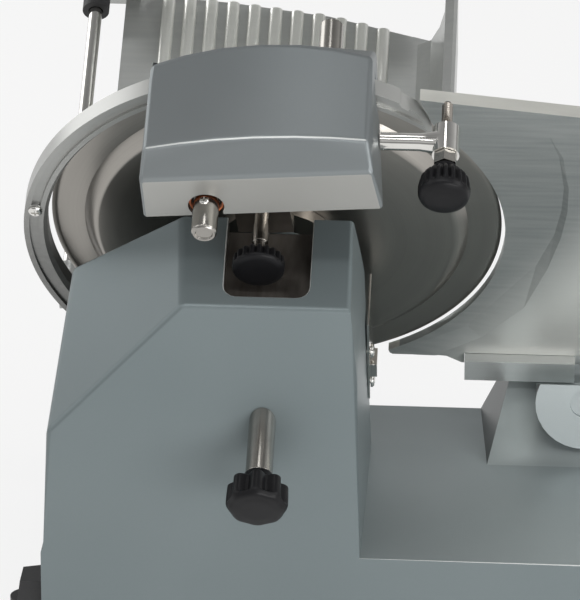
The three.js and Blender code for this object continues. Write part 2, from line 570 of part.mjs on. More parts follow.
function sharpenerCover() {
  const disc = bar(ring.outer + 0.8, -1.4, ring.back + 1.4, 96).translate(-sharpener.x, -sharpener.y, 0)
    .rotateZ(-sharpener.turn);
  const notch = unite(bar(grinder.bush + seat, cover.back - 6, cover.back + 4, 28)
    .translate(grinder.x, grinder.y, 0),
    block(grinder.x - grinder.bush + 1, grinder.x + grinder.bush - 1, grinder.y - 30, grinder.y,
      cover.back - 6, cover.back + 4));
  const truingHole = bar(truer.radius + seat, cover.front - 10, 0, 20).translate(truer.x, truer.y, 0);
  return place(cut(coverHull(0, 0), coverHull(cover.wall, 12), disc, notch, truingHole));
}

const sharpenerBracket = () => place(cut(
  unite(block(-post.half, post.half, post.low, post.headHigh, housing.face - seat - post.thick,
    housing.face - seat),
    block(post.headLeft, post.headRight, post.headLow, post.headHigh, housing.face - seat - post.thick,
      housing.face - seat)),
  bar(lockKnob.shank + seat, housing.face - 6, housing.face + 1, 20),
  bar(grinder.rod + seat, 20, 60, 14).translate(grinder.x, grinder.y, 0),
));

const sharpenerStud = () =>
  place(turned([[0, housing.face - 5.4], [lockKnob.shank, housing.face - 5.4],
  [lockKnob.shank, lockKnob.shankEnd],
  [lockKnob.screw, lockKnob.shankEnd + 1], [lockKnob.screw, lockKnob.end - 2.5], [0, lockKnob.end - 2.5]],
  20));

const sharpenerKnob = () =>
  place(flutedKnob(lockKnob.radius, lockKnob.start, lockKnob.end, 7, lockKnob.start - 2,
  lockKnob.screw + seat,
  lockKnob.end - 1.8));

const grindingStone = () =>
  place(turned([[grinder.rod + seat, grinder.stoneFront], [grinder.stone - 1, grinder.stoneFront],
  [grinder.stone, grinder.stoneFront + 1], [grinder.stone, grinder.stoneFront + grinder.thick],
  [grinder.rod + seat, grinder.stoneFront + grinder.thick]], 24)
  .translate(grinder.stoneX, grinder.stoneY, 0));

// The button's rod carries the stone on a short arm, so that the stone meets the bevel and clears the rim
function grindingButton() {
  const armStart = grinder.stoneFront + grinder.thick + seat;
  const button = turned([[0, armStart], [grinder.rod, armStart], [grinder.rod, grinder.in],
    [grinder.radius, grinder.in],
    [grinder.radius, grinder.out - 1], [grinder.radius - 1, grinder.out], [0, grinder.out]], 28)
    .translate(grinder.x, grinder.y, 0);
  const carrier = hull([[grinder.x, grinder.y], [grinder.stoneX, grinder.stoneY]].flatMap(([x, y]) => (
    arc(4.6, 0, 315, 7).flatMap(([dx, dy]) =>
      [[x + dx, y + dy, armStart], [x + dx, y + dy, grinder.armEnd]]))));
  const pin = bar(grinder.rod, grinder.stoneFront + 1, armStart + 1, 16)
    .translate(grinder.stoneX, grinder.stoneY, 0);
  return place(unite(button, carrier, pin));
}

function buttonBush() {
  const inner = grinder.radius + grinder.bushGap;
  const back = cover.back - grinder.bushIn;
  const front = back - grinder.bushThick;
  return place(turned([[inner, front], [grinder.bush, front], [grinder.bush, back], [inner, back]], 28)
    .translate(grinder.x, grinder.y, 0));
}

const truingStone = () =>
  place(turned([[truer.rod + seat, truer.stoneBack - truer.thick],
  [truer.stone, truer.stoneBack - truer.thick],
  [truer.stone, truer.stoneBack - 1], [truer.stone - 1, truer.stoneBack],
  [truer.rod + seat, truer.stoneBack]], 24)
  .translate(truer.x, truer.y, 0));

const truingButton = () =>
  place(turned([[0, truer.out], [truer.radius - 1, truer.out], [truer.radius, truer.out + 1],
  [truer.radius, truer.in], [truer.rod, truer.in], [truer.rod, truer.stoneBack - 1],
  [0, truer.stoneBack - 1]], 24)
  .translate(truer.x, truer.y, 0));

// Side stop: an arm beside the cover that carries a screw against the gauge plate's side
const stopPlace = (geometry) => place(geometry.translate(stop.x, stop.y, 0));
const hexagon = (radius) =>
  Array.from({ length: 6 },
  (_, i) => [radius * Math.cos(i * Math.PI / 3), radius * Math.sin(i * Math.PI / 3)]);

function stopArm() {
  const length = Math.hypot(stop.x - stop.barX, stop.y - stop.barY);
  const lean = Math.atan2(stop.y - stop.barY, stop.x - stop.barX);
  const lying = (geometry) => geometry.rotateY(Math.PI / 2).rotateZ(lean)
    .translate(stop.barX, stop.barY, stop.barZ);
  const straight = lying(bar(stop.bar, 0, length - stop.flare + 0.1, 20));
  const flared = lying(bar(stop.bar, length - stop.flare, length - 3, 20, stop.flareEnd));
  const eye = bar(stop.sleeve, stop.sleeveStart, stop.sleeveEnd, 28).translate(stop.x, stop.y, 0);
  const hole = bar(stop.screw + seat, stop.sleeveStart - 1, stop.sleeveEnd + 1, 18)
    .translate(stop.x, stop.y, 0);
  return place(cut(unite(straight, flared, eye), hole));
}

const stopLockNut = () => stopPlace(cut(plate(hexagon(stop.nut), stop.sleeveEnd + seat, stop.nutEnd),
  bar(stop.screw + seat, stop.sleeveEnd, stop.nutEnd + 1, 18)));
const stopScrew = () => stopPlace(turned([[0, stop.tip], [stop.screw - 0.8, stop.tip],
  [stop.screw, stop.tip + 1],
  [stop.screw, stop.knobEnd - 6], [0, stop.knobEnd - 6]], 20));
const stopKnob = () => stopPlace(flutedKnob(stop.knob, stop.knobStart, stop.knobEnd, 6.5, stop.nutEnd + 1,
  stop.screw + seat, stop.knobEnd - 5.4));

// Gauge plate and the parts that move with it
function gaugePlate() {
  const { cornerX, top, topFall, right, bottom, gap, thick, pocket } = gauge;
  const radius = blade.radius + gap;
  const besideBracket = bracket.left - seat;
  const outline = [[cornerX, top], ...arc(radius, 46, -61, 32), [62.4, bottom - 5.8], [64, bottom - 6.6],
    [79, bottom - 4.7],
    [90.4, bottom - 2.9], [95, bottom - 3.4], [99.2, bottom - 6.2], [103.6, bottom - 9.1],
    [besideBracket, bottom - 9.3],
    [besideBracket, bottom], [right, bottom], [right, top - topFall * (right - cornerX)]];
  const sunk = loft(pocketPlaces.map(([angle, floor, slope, share]) => {
    const low = thick - pocket * share;
    return [[-4, low], [-4, thick + 1], [slope, thick + 1], [slope, thick], [floor, low]]
      .map(([outward, z]) => [...onCircle(radius + outward, angle), z]);
  }));
  return machined(cut(plate(outline.reverse(), 0, thick), sunk));
}

const gaugeBracket = () => {
  const top = gauge.bottom - seat;
  const rim = block(bracket.left, bracket.right, bracket.low, top, bracket.front, bracket.back);
  const web = block(bracket.left, bracket.webRight, bracket.webLow, top, slideBar.lugFront,
    bracket.front + 0.3);
  const lug = block(slideBar.x - slideBar.lug, slideBar.x + slideBar.lug, slideBar.y, bracket.webLow + 1,
    slideBar.lugFront, slideBar.lugBack);
  const eye = bar(slideBar.lug, slideBar.lugFront, slideBar.lugBack, 28).translate(slideBar.x, slideBar.y, 0);
  const hole = bar(slideBar.radius + seat, -20, 20, 28).translate(slideBar.x, slideBar.y, 0);
  return machined(cut(unite(rim, web, lug, eye), hole));
};

const gaugeSlideBar = () => {
  const body = bar(slideBar.radius, slideBar.start, slideBar.end, 28).translate(slideBar.x, slideBar.y, 0);
  const hole = bar(follower.radius + seat, 180, 230, 16).rotateY(Math.PI / 2)
    .translate(0, slideBar.y, follower.at);
  return machined(cut(body, hole));
};

const camFollower = () => unite(
  bar(follower.radius, slideBar.x - slideBar.radius - 2, index.x + follower.pin, 16).rotateY(Math.PI / 2)
  .translate(0, followerY, followerZ),
  bar(follower.pin, 0, follower.pinLength, 16).rotateX(-Math.PI / 2).translate(index.x, followerY, followerZ),
);

// The cam falls away by `camRise` over the knob's turn; the follower rests on its top
function indexCam() {
  const outline = [];
  for (let angle = 0; angle < 360; angle += 7.5) {
    const share = Math.min(angle / index.turn, 1);
    const back = Math.max(0, (angle - index.turn - 30) / 30);
    const radius = index.cam - camRise * share * (1 - Math.min(back, 1));
    const from = THREE.MathUtils.degToRad(90 - angle);
    outline.push([radius * Math.cos(from), radius * Math.sin(from)]);
  }
  const disc = alongX(outline.reverse(), 0, index.camThick).rotateZ(Math.PI / 2);
  const onShaft = disc.translate(0, index.camY, 0);
  const shaft = bar(index.shaft, 0, base.front + index.knobLong - 5 - index.camY + 2, 20)
    .rotateX(-Math.PI / 2).translate(0, index.camY - 2, 0);
  return unite(onShaft, shaft).translate(index.x, 0, indexZ);
}

const indexKnob = () => flutedKnob(index.knob, 4, index.knobLong, index.neck, seat, index.shaft + seat,
  index.knobLong - 4.4)
  .rotateX(-Math.PI / 2).translate(index.x, base.front, indexZ);

// Carriage
const slideRod = () => bar(rail.radius, base.left + 5.3, controlLeft + base.wall, 24).rotateY(Math.PI / 2)
  .translate(0, rail.y, railZ);

function carriageSlider() {
  const { middle, half, radius, padTop, roller, rollerY, axle } = slider;
  const sleeve = bar(radius, middle - half, middle + half, 28).rotateY(Math.PI / 2)
    .translate(0, rail.y, railZ);
  const pad = block(middle - half, middle + half, rail.y - 10, rail.y + 10, railZ, padTop);
  const reach = block(middle - 10, middle + 10, rail.y, rollerY - 1, ledgeTop + 2, ledgeTop + 12);
  const pin = bar(axle, -3, slider.rollerWide + 1, 12).rotateX(-Math.PI / 2)
    .translate(middle, rollerY, ledgeTop + roller + seat);
  const hole = bar(rail.radius + seat, middle - half - 1, middle + half + 1, 24).rotateY(Math.PI / 2)
    .translate(0, rail.y, railZ);
  const lockHole = bar(3.3, 62, padTop + 1, 14).translate(middle, rail.y - 2, 0);
  return cut(unite(sleeve, pad, reach, pin), hole, lockHole);
}

const carriageRoller = () =>
  turned([[slider.axle + seat, 0], [slider.roller, 0], [slider.roller, slider.rollerWide],
  [slider.axle + seat, slider.rollerWide]], 24).rotateX(-Math.PI / 2)
  .translate(slider.middle, slider.rollerY, ledgeTop + slider.roller + seat);

// The arm stands on the slider and holds the table from below; its foot takes the lock screw
function carriageArm() {
  const under = table.height - table.thick - seat;
  const column = block(arm.middle - arm.half, arm.middle + arm.half, arm.y - arm.thick / 2,
    arm.y + arm.thick / 2,
    slider.padTop + seat, bladeHeight);
  const footBlock = block(arm.middle - arm.half, arm.middle + arm.half, rail.y - 10, rail.y + 10,
    slider.padTop + seat, slider.padTop + 14);
  const pad = machined(block(arm.middle - arm.half, arm.middle + arm.half, under - arm.pad, under, -arm.padTo,
    -arm.padFrom));
  const padHeight = bladeHeight - 52.5;
  const gusset = alongX([[arm.y + 2, padHeight], [arm.y + 26, padHeight + 14], [arm.y + 2, padHeight - 42]],
    arm.middle - 4, arm.middle + 4);
  const below = machined(block(-300, 300, -400, under, -400, 300));
  const hole = bar(3.3, slider.padTop - 5, slider.padTop + 20, 14).translate(arm.middle, arm.y, 0);
  const relief = bar(9, slider.padTop + 14, slider.padTop + 32, 20).translate(arm.middle, arm.y, 0);
  return cut(common(unite(column, footBlock, pad, gusset), below), hole, relief);
}

const lockScrew = () => {
  const z0 = 64;
  const head = slider.padTop + 14 + seat;
  return turned([[0, z0], [3, z0], [3, head], [7.5, head], [8, head + 1], [8, head + 9], [7, head + 10],
    [0, head + 10]], 20)
    .translate(arm.middle, arm.y, 0);
};

function carriageTable() {
  const { left, right, height, thick, near, ribs, ribPitch, ribFirst, ribHigh, border, cornerX,
    cornerN } = table;
  const outline = [[left, near], [right - cornerX, near], [right, near + cornerN], ...tableEdge];
  const far = (x) => {
    const i = tableEdge.findIndex(([edgeX]) => edgeX <= x);
    const [[x0, n0], [x1, n1]] = [tableEdge[i - 1], tableEdge[i]];
    return n0 + (n1 - n0) * (x - x0) / (x1 - x0);
  };
  const sheet = flatPlate(outline, height - thick, height);
  const ribBars = Array.from({ length: ribs }, (_, i) => {
    const x = ribFirst + i * ribPitch;
    return plate([[x - 3.3, height - 0.5], [x + 3.3, height - 0.5], [x + 1.4, height + ribHigh],
      [x - 1.4, height + ribHigh]], -far(x) + 7, -near - 4);
  });
  const edgePad = flatPlate([[border, near + 0.01], [right - cornerX, near + 0.01], [right, near + cornerN],
    [right, far(right - 0.1) - 2], [border, far(border) - 2]], height - 0.5, height + ribHigh);
  const wallLow = height - 0.5;
  const top = height + table.wallHigh;
  const sideWall = plate([[right, wallLow], [right, top - 2], [right - 2, top],
    [right - table.wallThick, top - 2],
    [right - table.wallThick - 1, top - 26], [right - table.wallThick - 4, top - 40],
    [right - table.wallThick - 9, height + 8],
    [right - 24, height + ribHigh + 0.6], [right - 24, wallLow]], -far(right - 0.1) + 1, -near - 24);
  const lugs = [[near + 1, pusherRod.lugEnd, 1],
    [pusherRod.farLug, pusherRod.farLugEnd, 9]].map(([from, to, overlap]) => unite(
    block(pusherRod.x - 6, left + overlap, height - thick, pusherRod.y, -to, -from),
    bar(pusherRod.lug, -to, -from, 20).translate(pusherRod.x, pusherRod.y, 0),
  ));
  const hole = bar(pusherRod.radius + seat, -400, -pusherRod.start + seat, 20)
    .translate(pusherRod.x, pusherRod.y, 0);
  return machined(cut(unite(sheet, ...ribBars, edgePad, sideWall, ...lugs), hole));
}

// An outline of [x, distance in front of the blade] between two heights
function flatPlate(points, y0, y1) {
  return plate(points, y0, y1).rotateX(-Math.PI / 2);
}

const tableHandle = () => {
  const top = table.height - table.thick - seat;
  return machined(turned([[0, 0], [9, 0], [9, -3], [grip.neck, -6], [grip.neck, -14], [grip.radius - 2, -17],
    [grip.radius, -22],
    [grip.radius - 1.5, -50], [grip.radius, -grip.length + 6], [grip.radius - 4, -grip.length],
    [0, -grip.length]], 18)
    .rotateX(-Math.PI / 2).translate(grip.x, top, grip.z));
};

// Pusher
const onRod = (geometry) => machined(geometry.translate(pusherRod.x, pusherRod.y, 0));
const rodBody = () => onRod(turned([[0, -pusherRod.start], [pusherRod.radius, -pusherRod.start],
  [pusherRod.radius, -pusherRod.end + 1],
  [pusherRod.radius - 1, -pusherRod.end], [0, -pusherRod.end]], 24));
const pusherCollar = () =>
  onRod(turned([[pusherRod.radius + seat, -pusher.start], [pusher.sleeve, -pusher.start],
  [pusher.sleeve, -pusher.end],
  [pusherRod.radius + seat, -pusher.end]], 24));

function pusherPlate() {
  const { sleeve, end, hubEnd, plate: from, thick, top, left, right, armLow, armTop } = pusher;
  const hub = bar(sleeve, -hubEnd, -end - seat, 24).translate(pusherRod.x, pusherRod.y, 0);
  const reach = unite(block(pusherRod.x - 6, pusherRod.x + 6, pusherRod.y + 6, armTop, -hubEnd, -end - 4),
    block(pusherRod.x - 2, left + 12, armLow, armTop, -from - thick, -end - 4));
  const sheet = plate(roundedRect(left, right, table.height + table.ribHigh + 6, top, 10), -from - thick,
    -from);
  const spikes = [];
  for (let x = left + 16; x < right - 8; x += 32) {
    for (const y of [-64, -34]) spikes.push(bar(2, -from - 1, -from + 5, 6, 0.5).translate(x, y, 0));
  }
  const hole = bar(pusherRod.radius + seat, -300, 0, 24).translate(pusherRod.x, pusherRod.y, 0);
  const knobHole = bar(3.3, -from - thick - 1, -from - 2, 14).translate(pushKnob.x, pushKnob.y, 0);
  return machined(cut(unite(hub, reach, sheet, ...spikes), hole, knobHole));
}

const pusherHandle = () => {
  const from = -pusher.plate - pusher.thick - seat;
  return machined(turned([[0, from + 3], [3, from + 3], [3, from], [9, from], [9, from - 4], [7, from - 12],
    [pushKnob.radius - 4, from - 18],
    [pushKnob.radius, from - 24], [pushKnob.radius, from - 28], [pushKnob.radius - 5, from - pushKnob.length],
    [0, from - pushKnob.length]], 18)
    .translate(pushKnob.x, pushKnob.y, 0));
};

const pieces = [
  ['base_housing', baseHousing(), cast], ['bottom_cover', bottomCover(), steel],
  ...['rear_left', 'rear_right', 'front_left',
    'front_right'].map((name, i) => [`foot_${name}`, rubberFoot(footPlaces[i]), rubber]),
  ['motor_body', machined(motorBody()), greyMotor], ['motor_pulley', machined(motorPulley()), steel],
  ['drive_belt', machined(driveBelt()), black], ['spindle_housing', machined(spindleHousing()), cast],
  ['bearing_front', machined(ballBearing(bearing.front)), steel],
  ['bearing_rear', machined(ballBearing(bearing.rear)), steel],
  ['spindle', machined(spindleBody()), steel],
  ['blade_pulley', machined(pulleyBody(pulley.radius, spindle.radius + seat)), steel],
  ['blade', machined(bladeDisc()), steel],
  ...screwPlaces.map((at, i) => [`blade_screw_${i + 1}`, machined(bladeScrew(at)), chrome]),
  ['blade_cover', machined(bladeCover()), cast],
  ['tie_rod', machined(bar(tieRod.radius, frontCover.crown + frontCover.thick, tieRod.knobEnd - 4, 20)),
    steel],
  ['tie_rod_spacer', rodSpacer(), chrome], ['tie_rod_knob', machined(lobedKnob()), black],
  ['ring_guard', machined(ringGuard()), cast],
  ['slice_deflector', deflectorSheet(), chrome],
  ...deflector.screws.map((y, i) => [`deflector_screw_${i + 1}`, deflectorScrew(y), chrome]),
  ['switch_housing', switchHousing(), black], ['on_button', pushButton(-1), green],
  ['off_button', pushButton(1), red],
  ['cable_gland', cableGland(), black],
  ['sharpener_cover', sharpenerCover(), cast], ['sharpener_bracket', sharpenerBracket(), steel],
  ['sharpener_stud', sharpenerStud(), chrome], ['sharpener_knob', sharpenerKnob(), black],
  ['grinding_stone', grindingStone(), grit], ['grinding_button', grindingButton(), chrome],
  ['button_bush', buttonBush(), grit],
  ['truing_stone', truingStone(), grit], ['truing_button', truingButton(), chrome],
  ['stop_arm', stopArm(), chrome], ['stop_screw', stopScrew(), chrome],
  ['stop_lock_nut', stopLockNut(), chrome],
  ['stop_knob', stopKnob(), black],
  ['gauge_plate', gaugePlate(), cast], ['gauge_bracket', gaugeBracket(), cast],
  ['gauge_slide_bar', gaugeSlideBar(), steel],
  ['cam_follower', camFollower(), steel], ['index_cam_shaft', indexCam(), steel],
  ['index_knob', indexKnob(), black],
  ['slide_rod', slideRod(), chrome], ['carriage_slider', carriageSlider(), cast],
  ['carriage_roller', carriageRoller(), black],
  ['carriage_arm', carriageArm(), cast], ['carriage_lock_screw', lockScrew(), black],
  ['carriage_table', carriageTable(), cast],
  ['carriage_handle', tableHandle(), black], ['pusher_rod', rodBody(), chrome],
  ['pusher_collar', pusherCollar(), black],
  ['pusher_plate', pusherPlate(), cast], ['pusher_handle', pusherHandle(), black],
];

const slicer = new THREE.Group();
slicer.name = 'gravity_feed_slicer';
const overall = new THREE.Box3();
for (const [, geometry] of pieces) overall.union(new THREE.Box3()
  .setFromBufferAttribute(geometry.attributes.position));
const middle = overall.getCenter(new THREE.Vector3());
for (const [name, geometry, material] of pieces) {
  const finished = merged(geometry).translate(-middle.x, -middle.y, -overall.min.z).toNonIndexed();
  finished.computeVertexNormals();
  const piece = new THREE.Mesh(finished, material());
  piece.name = name;
  slicer.add(piece);
}

export default slicer;
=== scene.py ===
import bmesh
import bpy
import json
import math
from mathutils import Matrix, Vector, kdtree


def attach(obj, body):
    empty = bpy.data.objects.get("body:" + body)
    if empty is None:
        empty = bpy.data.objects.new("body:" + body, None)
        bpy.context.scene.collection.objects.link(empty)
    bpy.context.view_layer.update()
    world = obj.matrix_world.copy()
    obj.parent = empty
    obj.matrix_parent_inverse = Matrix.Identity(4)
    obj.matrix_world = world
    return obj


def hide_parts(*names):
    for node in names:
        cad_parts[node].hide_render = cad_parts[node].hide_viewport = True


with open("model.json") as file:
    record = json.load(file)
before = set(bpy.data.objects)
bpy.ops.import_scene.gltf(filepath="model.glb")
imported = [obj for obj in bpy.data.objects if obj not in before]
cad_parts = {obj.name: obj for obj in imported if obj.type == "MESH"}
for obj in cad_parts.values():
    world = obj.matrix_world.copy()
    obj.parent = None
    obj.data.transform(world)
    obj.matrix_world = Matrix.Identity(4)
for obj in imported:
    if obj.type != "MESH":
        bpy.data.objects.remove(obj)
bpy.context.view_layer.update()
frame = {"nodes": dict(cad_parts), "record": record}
record = frame["record"]
bodyOf = {node: body for body, nodes in record["behaviour"]["bodies"].items() for node in nodes}
slotOf = {part["node"]: part["material_slot"] for part in record["subparts"]}
mm = 0.001



def turned(degrees, axis):
    return Matrix.Rotation(math.radians(degrees), 4, axis)


# The blade leans back; its frame has x along the travel, y up the blade and z out of its back
bladeTilt = 30
bladeCentre = Vector((-0.07225, -0.045688, 0.2245))
bladeFrame = Matrix.Translation(bladeCentre) @ turned(90 + bladeTilt, "X")

# The hood's frame has its lock knob on z
hoodPlace, hoodTurn = (-0.0037, 0.062, 0), 5.6
hoodFrame = bladeFrame @ Matrix.Translation(hoodPlace) @ turned(hoodTurn, "Z")
print("frame loaded:", len(frame["nodes"]), "nodes")


# The hood's frame moved to a place across it, in millimetres
def hoodAt(place):
    return hoodFrame @ Matrix.Translation((place[0] * mm, place[1] * mm, 0))



# Camera, where the photograph was taken from
cameraSet = {
    "lens": 285.6, "sensor": 36, "yaw": 3.14, "drop": 22.51, "roll": 0.37,
    "fromBlade": Vector((0.138, -2.374, 0.937)), "reach": 20,
}


def addCamera(s):
    yaw, drop, roll = (math.radians(s[k]) for k in ("yaw", "drop", "roll"))
    level = math.cos(drop)
    ahead = Vector((-math.sin(yaw) * level, math.cos(yaw) * level, -math.sin(drop)))
    right = Vector((math.cos(yaw), math.sin(yaw), 0))
    up = right.cross(ahead)
    rightRolled = right * math.cos(roll) + up * math.sin(roll)
    upRolled = up * math.cos(roll) - right * math.sin(roll)
    turn = Matrix((rightRolled, upRolled, -ahead)).transposed().to_4x4()
    data = bpy.data.cameras.new("camera")
    data.lens, data.sensor_width, data.sensor_fit = s["lens"], s["sensor"], "HORIZONTAL"
    data.clip_end = s["reach"]
    camera = bpy.data.objects.new("camera", data)
    camera.matrix_world = Matrix.Translation(bladeCentre + s["fromBlade"]) @ turn
    bpy.context.scene.collection.objects.link(camera)
    bpy.context.scene.camera = camera


addCamera(cameraSet)
print("camera placed")


# A shader socket that takes part in sums like a number
class Wire:
    def __init__(self, finish, socket):
        self.finish = finish
        self.socket = socket

    def maths(self, operation, *values):
        return self.finish.node("ShaderNodeMath", {"operation": operation}, dict(enumerate(values)))

    def __add__(self, other):
        return self.maths("ADD", self, other)

    def __radd__(self, other):
        return self.maths("ADD", other, self)

    def __sub__(self, other):
        return self.maths("SUBTRACT", self, other)

    def __rsub__(self, other):
        return self.maths("SUBTRACT", other, self)

    def __mul__(self, other):
        return self.maths("MULTIPLY", self, other)

    def __rmul__(self, other):
        return self.maths("MULTIPLY", other, self)

    def root(self):
        return self.maths("SQRT", self)

    def atLeast(self, other):
        return self.maths("MAXIMUM", self, other)


class Finish:
    def __init__(self, name, **sockets):
        self.material = bpy.data.materials.new(name)
        self.material.use_nodes = True
        self.tree = self.material.node_tree
        self.shader = self.tree.nodes["Principled BSDF"]
        for socket, value in sockets.items():
            self.set(socket.replace("_", " "), value)
        self.place = self.node("ShaderNodeTexCoord", {}, {}, "Object")

    def node(self, kind, settings, sockets, output=0):
        made = self.tree.nodes.new(kind)
        stops = settings.pop("stops", None)
        for setting, value in settings.items():
            setattr(made, setting, value)
        if stops:
            ramp = made.color_ramp
            while len(ramp.elements) < len(stops):
                ramp.elements.new(0.5)
            for element, (position, colour) in zip(ramp.elements, stops):
                element.position = position
                element.color = (*colour, 1)
        for socket, value in sockets.items():
            if isinstance(value, Wire):
                self.tree.links.new(value.socket, made.inputs[socket])
            else:
                made.inputs[socket].default_value = value
        return Wire(self, made.outputs[output])

    def set(self, socket, value):
        target = self.shader.inputs[socket]
        if isinstance(value, Wire):
            self.tree.links.new(value.socket, target)
        elif isinstance(value, tuple):
            target.default_value = (*value, 1)
        else:
            target.default_value = value

    def moved(self, scale=(1, 1, 1), location=(0, 0, 0), rotation=(0, 0, 0)):
        sockets = {"Vector": self.place, "Location": location, "Rotation": rotation, "Scale": scale}
        return self.node("ShaderNodeMapping", {}, sockets)

    def noise(self, scale, detail=3.0, vector=None, roughness=0.5):
        sockets = {"Vector": vector or self.place, "Scale": scale}
        sockets.update({"Detail": detail, "Roughness": roughness})
        return self.node("ShaderNodeTexNoise", {}, sockets)

    # Across and up the blade, in its own frame
    def inBlade(self):
        own = self.moved((1, 1, 1), bladeShift, bladeTurn)
        x = self.node("ShaderNodeSeparateXYZ", {}, {"Vector": own}, "X")
        return x, Wire(self, x.socket.node.outputs["Y"])

    def blend(self, amount, first, second):
        sockets = {0: amount}
        for key, colour in ((6, first), (7, second)):
            sockets[key] = colour if isinstance(colour, Wire) else (*colour, 1)
        return self.node("ShaderNodeMix", {"data_type": "RGBA"}, sockets, 2)

    def bump(self, height, strength, distance):
        sockets = {"Strength": strength, "Distance": distance, "Height": height}
        self.set("Normal", self.node("ShaderNodeBump", {}, sockets))


# From row coordinates to the blade's own, in a material
bladeTurn = (math.radians(-90 - bladeTilt), 0, 0)
bladeShift = tuple(-(Matrix.Rotation(math.radians(-90 - bladeTilt), 3, "X") @ bladeCentre))


# Polished cast aluminium of the base, with a faint cloud and fine grain
def castBody(name, dark, light):
    f = Finish(name)
    cloud = f.noise(7, 2)
    grain = f.noise(1100, 2)
    f.set("Base Color", f.blend(cloud * 0.7 + grain * 0.2, dark, light))
    f.set("Metallic", 0.38)
    f.set("Roughness", 0.33 + 0.08 * cloud)
    f.bump(grain * 0.7 + cloud * 0.3, 0.05, 0.0002)
    return f.material


# Warmer and lighter casting of the sharpener hood
def castHood(name, dark, light):
    f = Finish(name)
    cloud = f.noise(12, 2)
    grain = f.noise(1500, 2)
    f.set("Base Color", f.blend(cloud * 0.6 + grain * 0.2, dark, light))
    f.set("Metallic", 0.7)
    f.set("Roughness", 0.40 + 0.06 * cloud)
    f.bump(grain, 0.05, 0.0002)
    return f.material


# Painted shade inside the recess under the hood: a dark rough casting with vertical streaks of
# painted reflection
def recessShade():
    f = Finish("recessShade", Metallic=0.5)
    # Vertical streaks of painted reflection
    toneNoise = f.noise(60, 3, f.moved((3, 1, 0.12)))
    f.set("Base Color", f.blend(toneNoise, (0.032, 0.026, 0.021), (0.17, 0.155, 0.14)))
    f.set("Roughness", 0.3 + 0.2 * toneNoise)
    f.bump(f.noise(500, 3), 0.1, 0.0003)
    return f.material


# Anodised aluminium of the gauge plate, table and ring, brushed along the travel
def satinAluminium(name, dark, light, rough):
    f = Finish(name, Metallic=0.7)
    streak = f.noise(60, 3, f.moved((0.35, 6, 6)))
    fine = f.noise(1800, 2)
    f.set("Base Color", f.blend(streak * 0.6 + fine * 0.2, dark, light))
    f.set("Roughness", rough + 0.07 * streak)
    f.bump(streak * 0.3 + fine * 0.4, 0.06, 0.0002)
    return f.material


# The same brushed metal with painted light, lighter towards one side: the gauge plate lower right,
# the ring at its top
def plateAluminiumWithPaintedLight(name, s):
    f = Finish(name, Metallic=0.6)
    streak = f.noise(60, 3, f.moved((0.35, 6, 6)))
    fine = f.noise(1800, 2)
    x, y = f.inBlade()
    reach = {"Value": x * s["across"] + y * s["up"], "From Min": s["from"], "From Max": s["to"],
             "To Min": 0.0, "To Max": 1.0}
    paintedLight = f.node("ShaderNodeMapRange", {"interpolation_type": "SMOOTHSTEP"}, reach)
    paintedLightTone = f.blend(paintedLight, s["dark"], s["pale"])
    f.set("Base Color", f.blend(streak * 0.3 + fine * 0.1, paintedLightTone, s["streak"]))
    f.set("Roughness", 0.3 + 0.07 * streak)
    f.bump(streak * 0.3 + fine * 0.4, 0.05, 0.0002)
    return f.material


# Ground blade with fine rings about its centre
def bladeSteel():
    f = Finish("bladeSteel", Metallic=1.0)
    x, y = f.inBlade()
    radius = (x * x + y * y).root()
    narrow = {"X": radius * 1400, "Y": x * 2, "Z": y * 2}
    rings = f.noise(1, 3, f.node("ShaderNodeCombineXYZ", {}, narrow))
    wide = {"X": radius * 90, "Y": 0.0, "Z": 0.0}
    broad = f.noise(1, 2, f.node("ShaderNodeCombineXYZ", {}, wide))
    dark, light = (0.29, 0.275, 0.255), (0.45, 0.43, 0.395)
    f.set("Base Color", f.blend(rings * 0.35 + broad * 0.5, dark, light))
    f.set("Roughness", 0.27 + 0.07 * rings)
    f.bump(rings, 0.035, 0.0002)
    return f.material


def groundSteel(name, dark, light):
    f = Finish(name, Metallic=1.0)
    streak = f.noise(220, 3, f.moved((0.2, 1, 1)))
    f.set("Base Color", f.blend(streak, dark, light))
    f.set("Roughness", 0.2 + 0.08 * streak)
    f.bump(streak, 0.025, 0.0002)
    return f.material


def polishedChrome():
    f = Finish("polishedChrome", Metallic=1.0)
    toneNoise = f.noise(90, 3)
    f.set("Base Color", f.blend(toneNoise, (0.66, 0.65, 0.62), (0.80, 0.79, 0.76)))
    f.set("Roughness", 0.07 + 0.07 * toneNoise)
    f.bump(f.noise(700, 2), 0.02, 0.0002)
    return f.material


def blackKnob():
    f = Finish("blackKnob", Coat_Roughness=0.25, Specular_IOR_Level=0.16)
    grain = f.noise(1500, 2)
    wear = f.noise(60, 4)
    f.set("Base Color", f.blend(wear, (0.004, 0.004, 0.005), (0.012, 0.012, 0.013)))
    f.set("Roughness", 0.3 + 0.14 * wear)
    f.set("Coat Weight", 0.06 * wear)
    f.bump(grain, 0.08, 0.0002)
    return f.material


def mattePlastic(name):
    f = Finish(name)
    grain = f.noise(1300, 2)
    f.set("Base Color", f.blend(grain, (0.010, 0.010, 0.011), (0.028, 0.028, 0.029)))
    f.set("Roughness", 0.45 + 0.15 * grain)
    f.bump(grain, 0.2, 0.0003)
    return f.material


def motorGrey():
    f = Finish("motorGrey", Metallic=0.3)
    grain = f.noise(700, 3)
    f.set("Base Color", f.blend(grain, (0.07, 0.075, 0.08), (0.12, 0.125, 0.13)))
    f.set("Roughness", 0.5 + 0.15 * grain)
    f.bump(grain, 0.2, 0.0003)
    return f.material


def softRubber(name):
    f = Finish(name)
    dust = f.noise(140, 4)
    f.set("Base Color", f.blend(dust, (0.012, 0.012, 0.012), (0.035, 0.034, 0.033)))
    f.set("Roughness", 0.7 + 0.2 * dust)
    f.bump(f.noise(900, 2), 0.2, 0.0004)
    return f.material


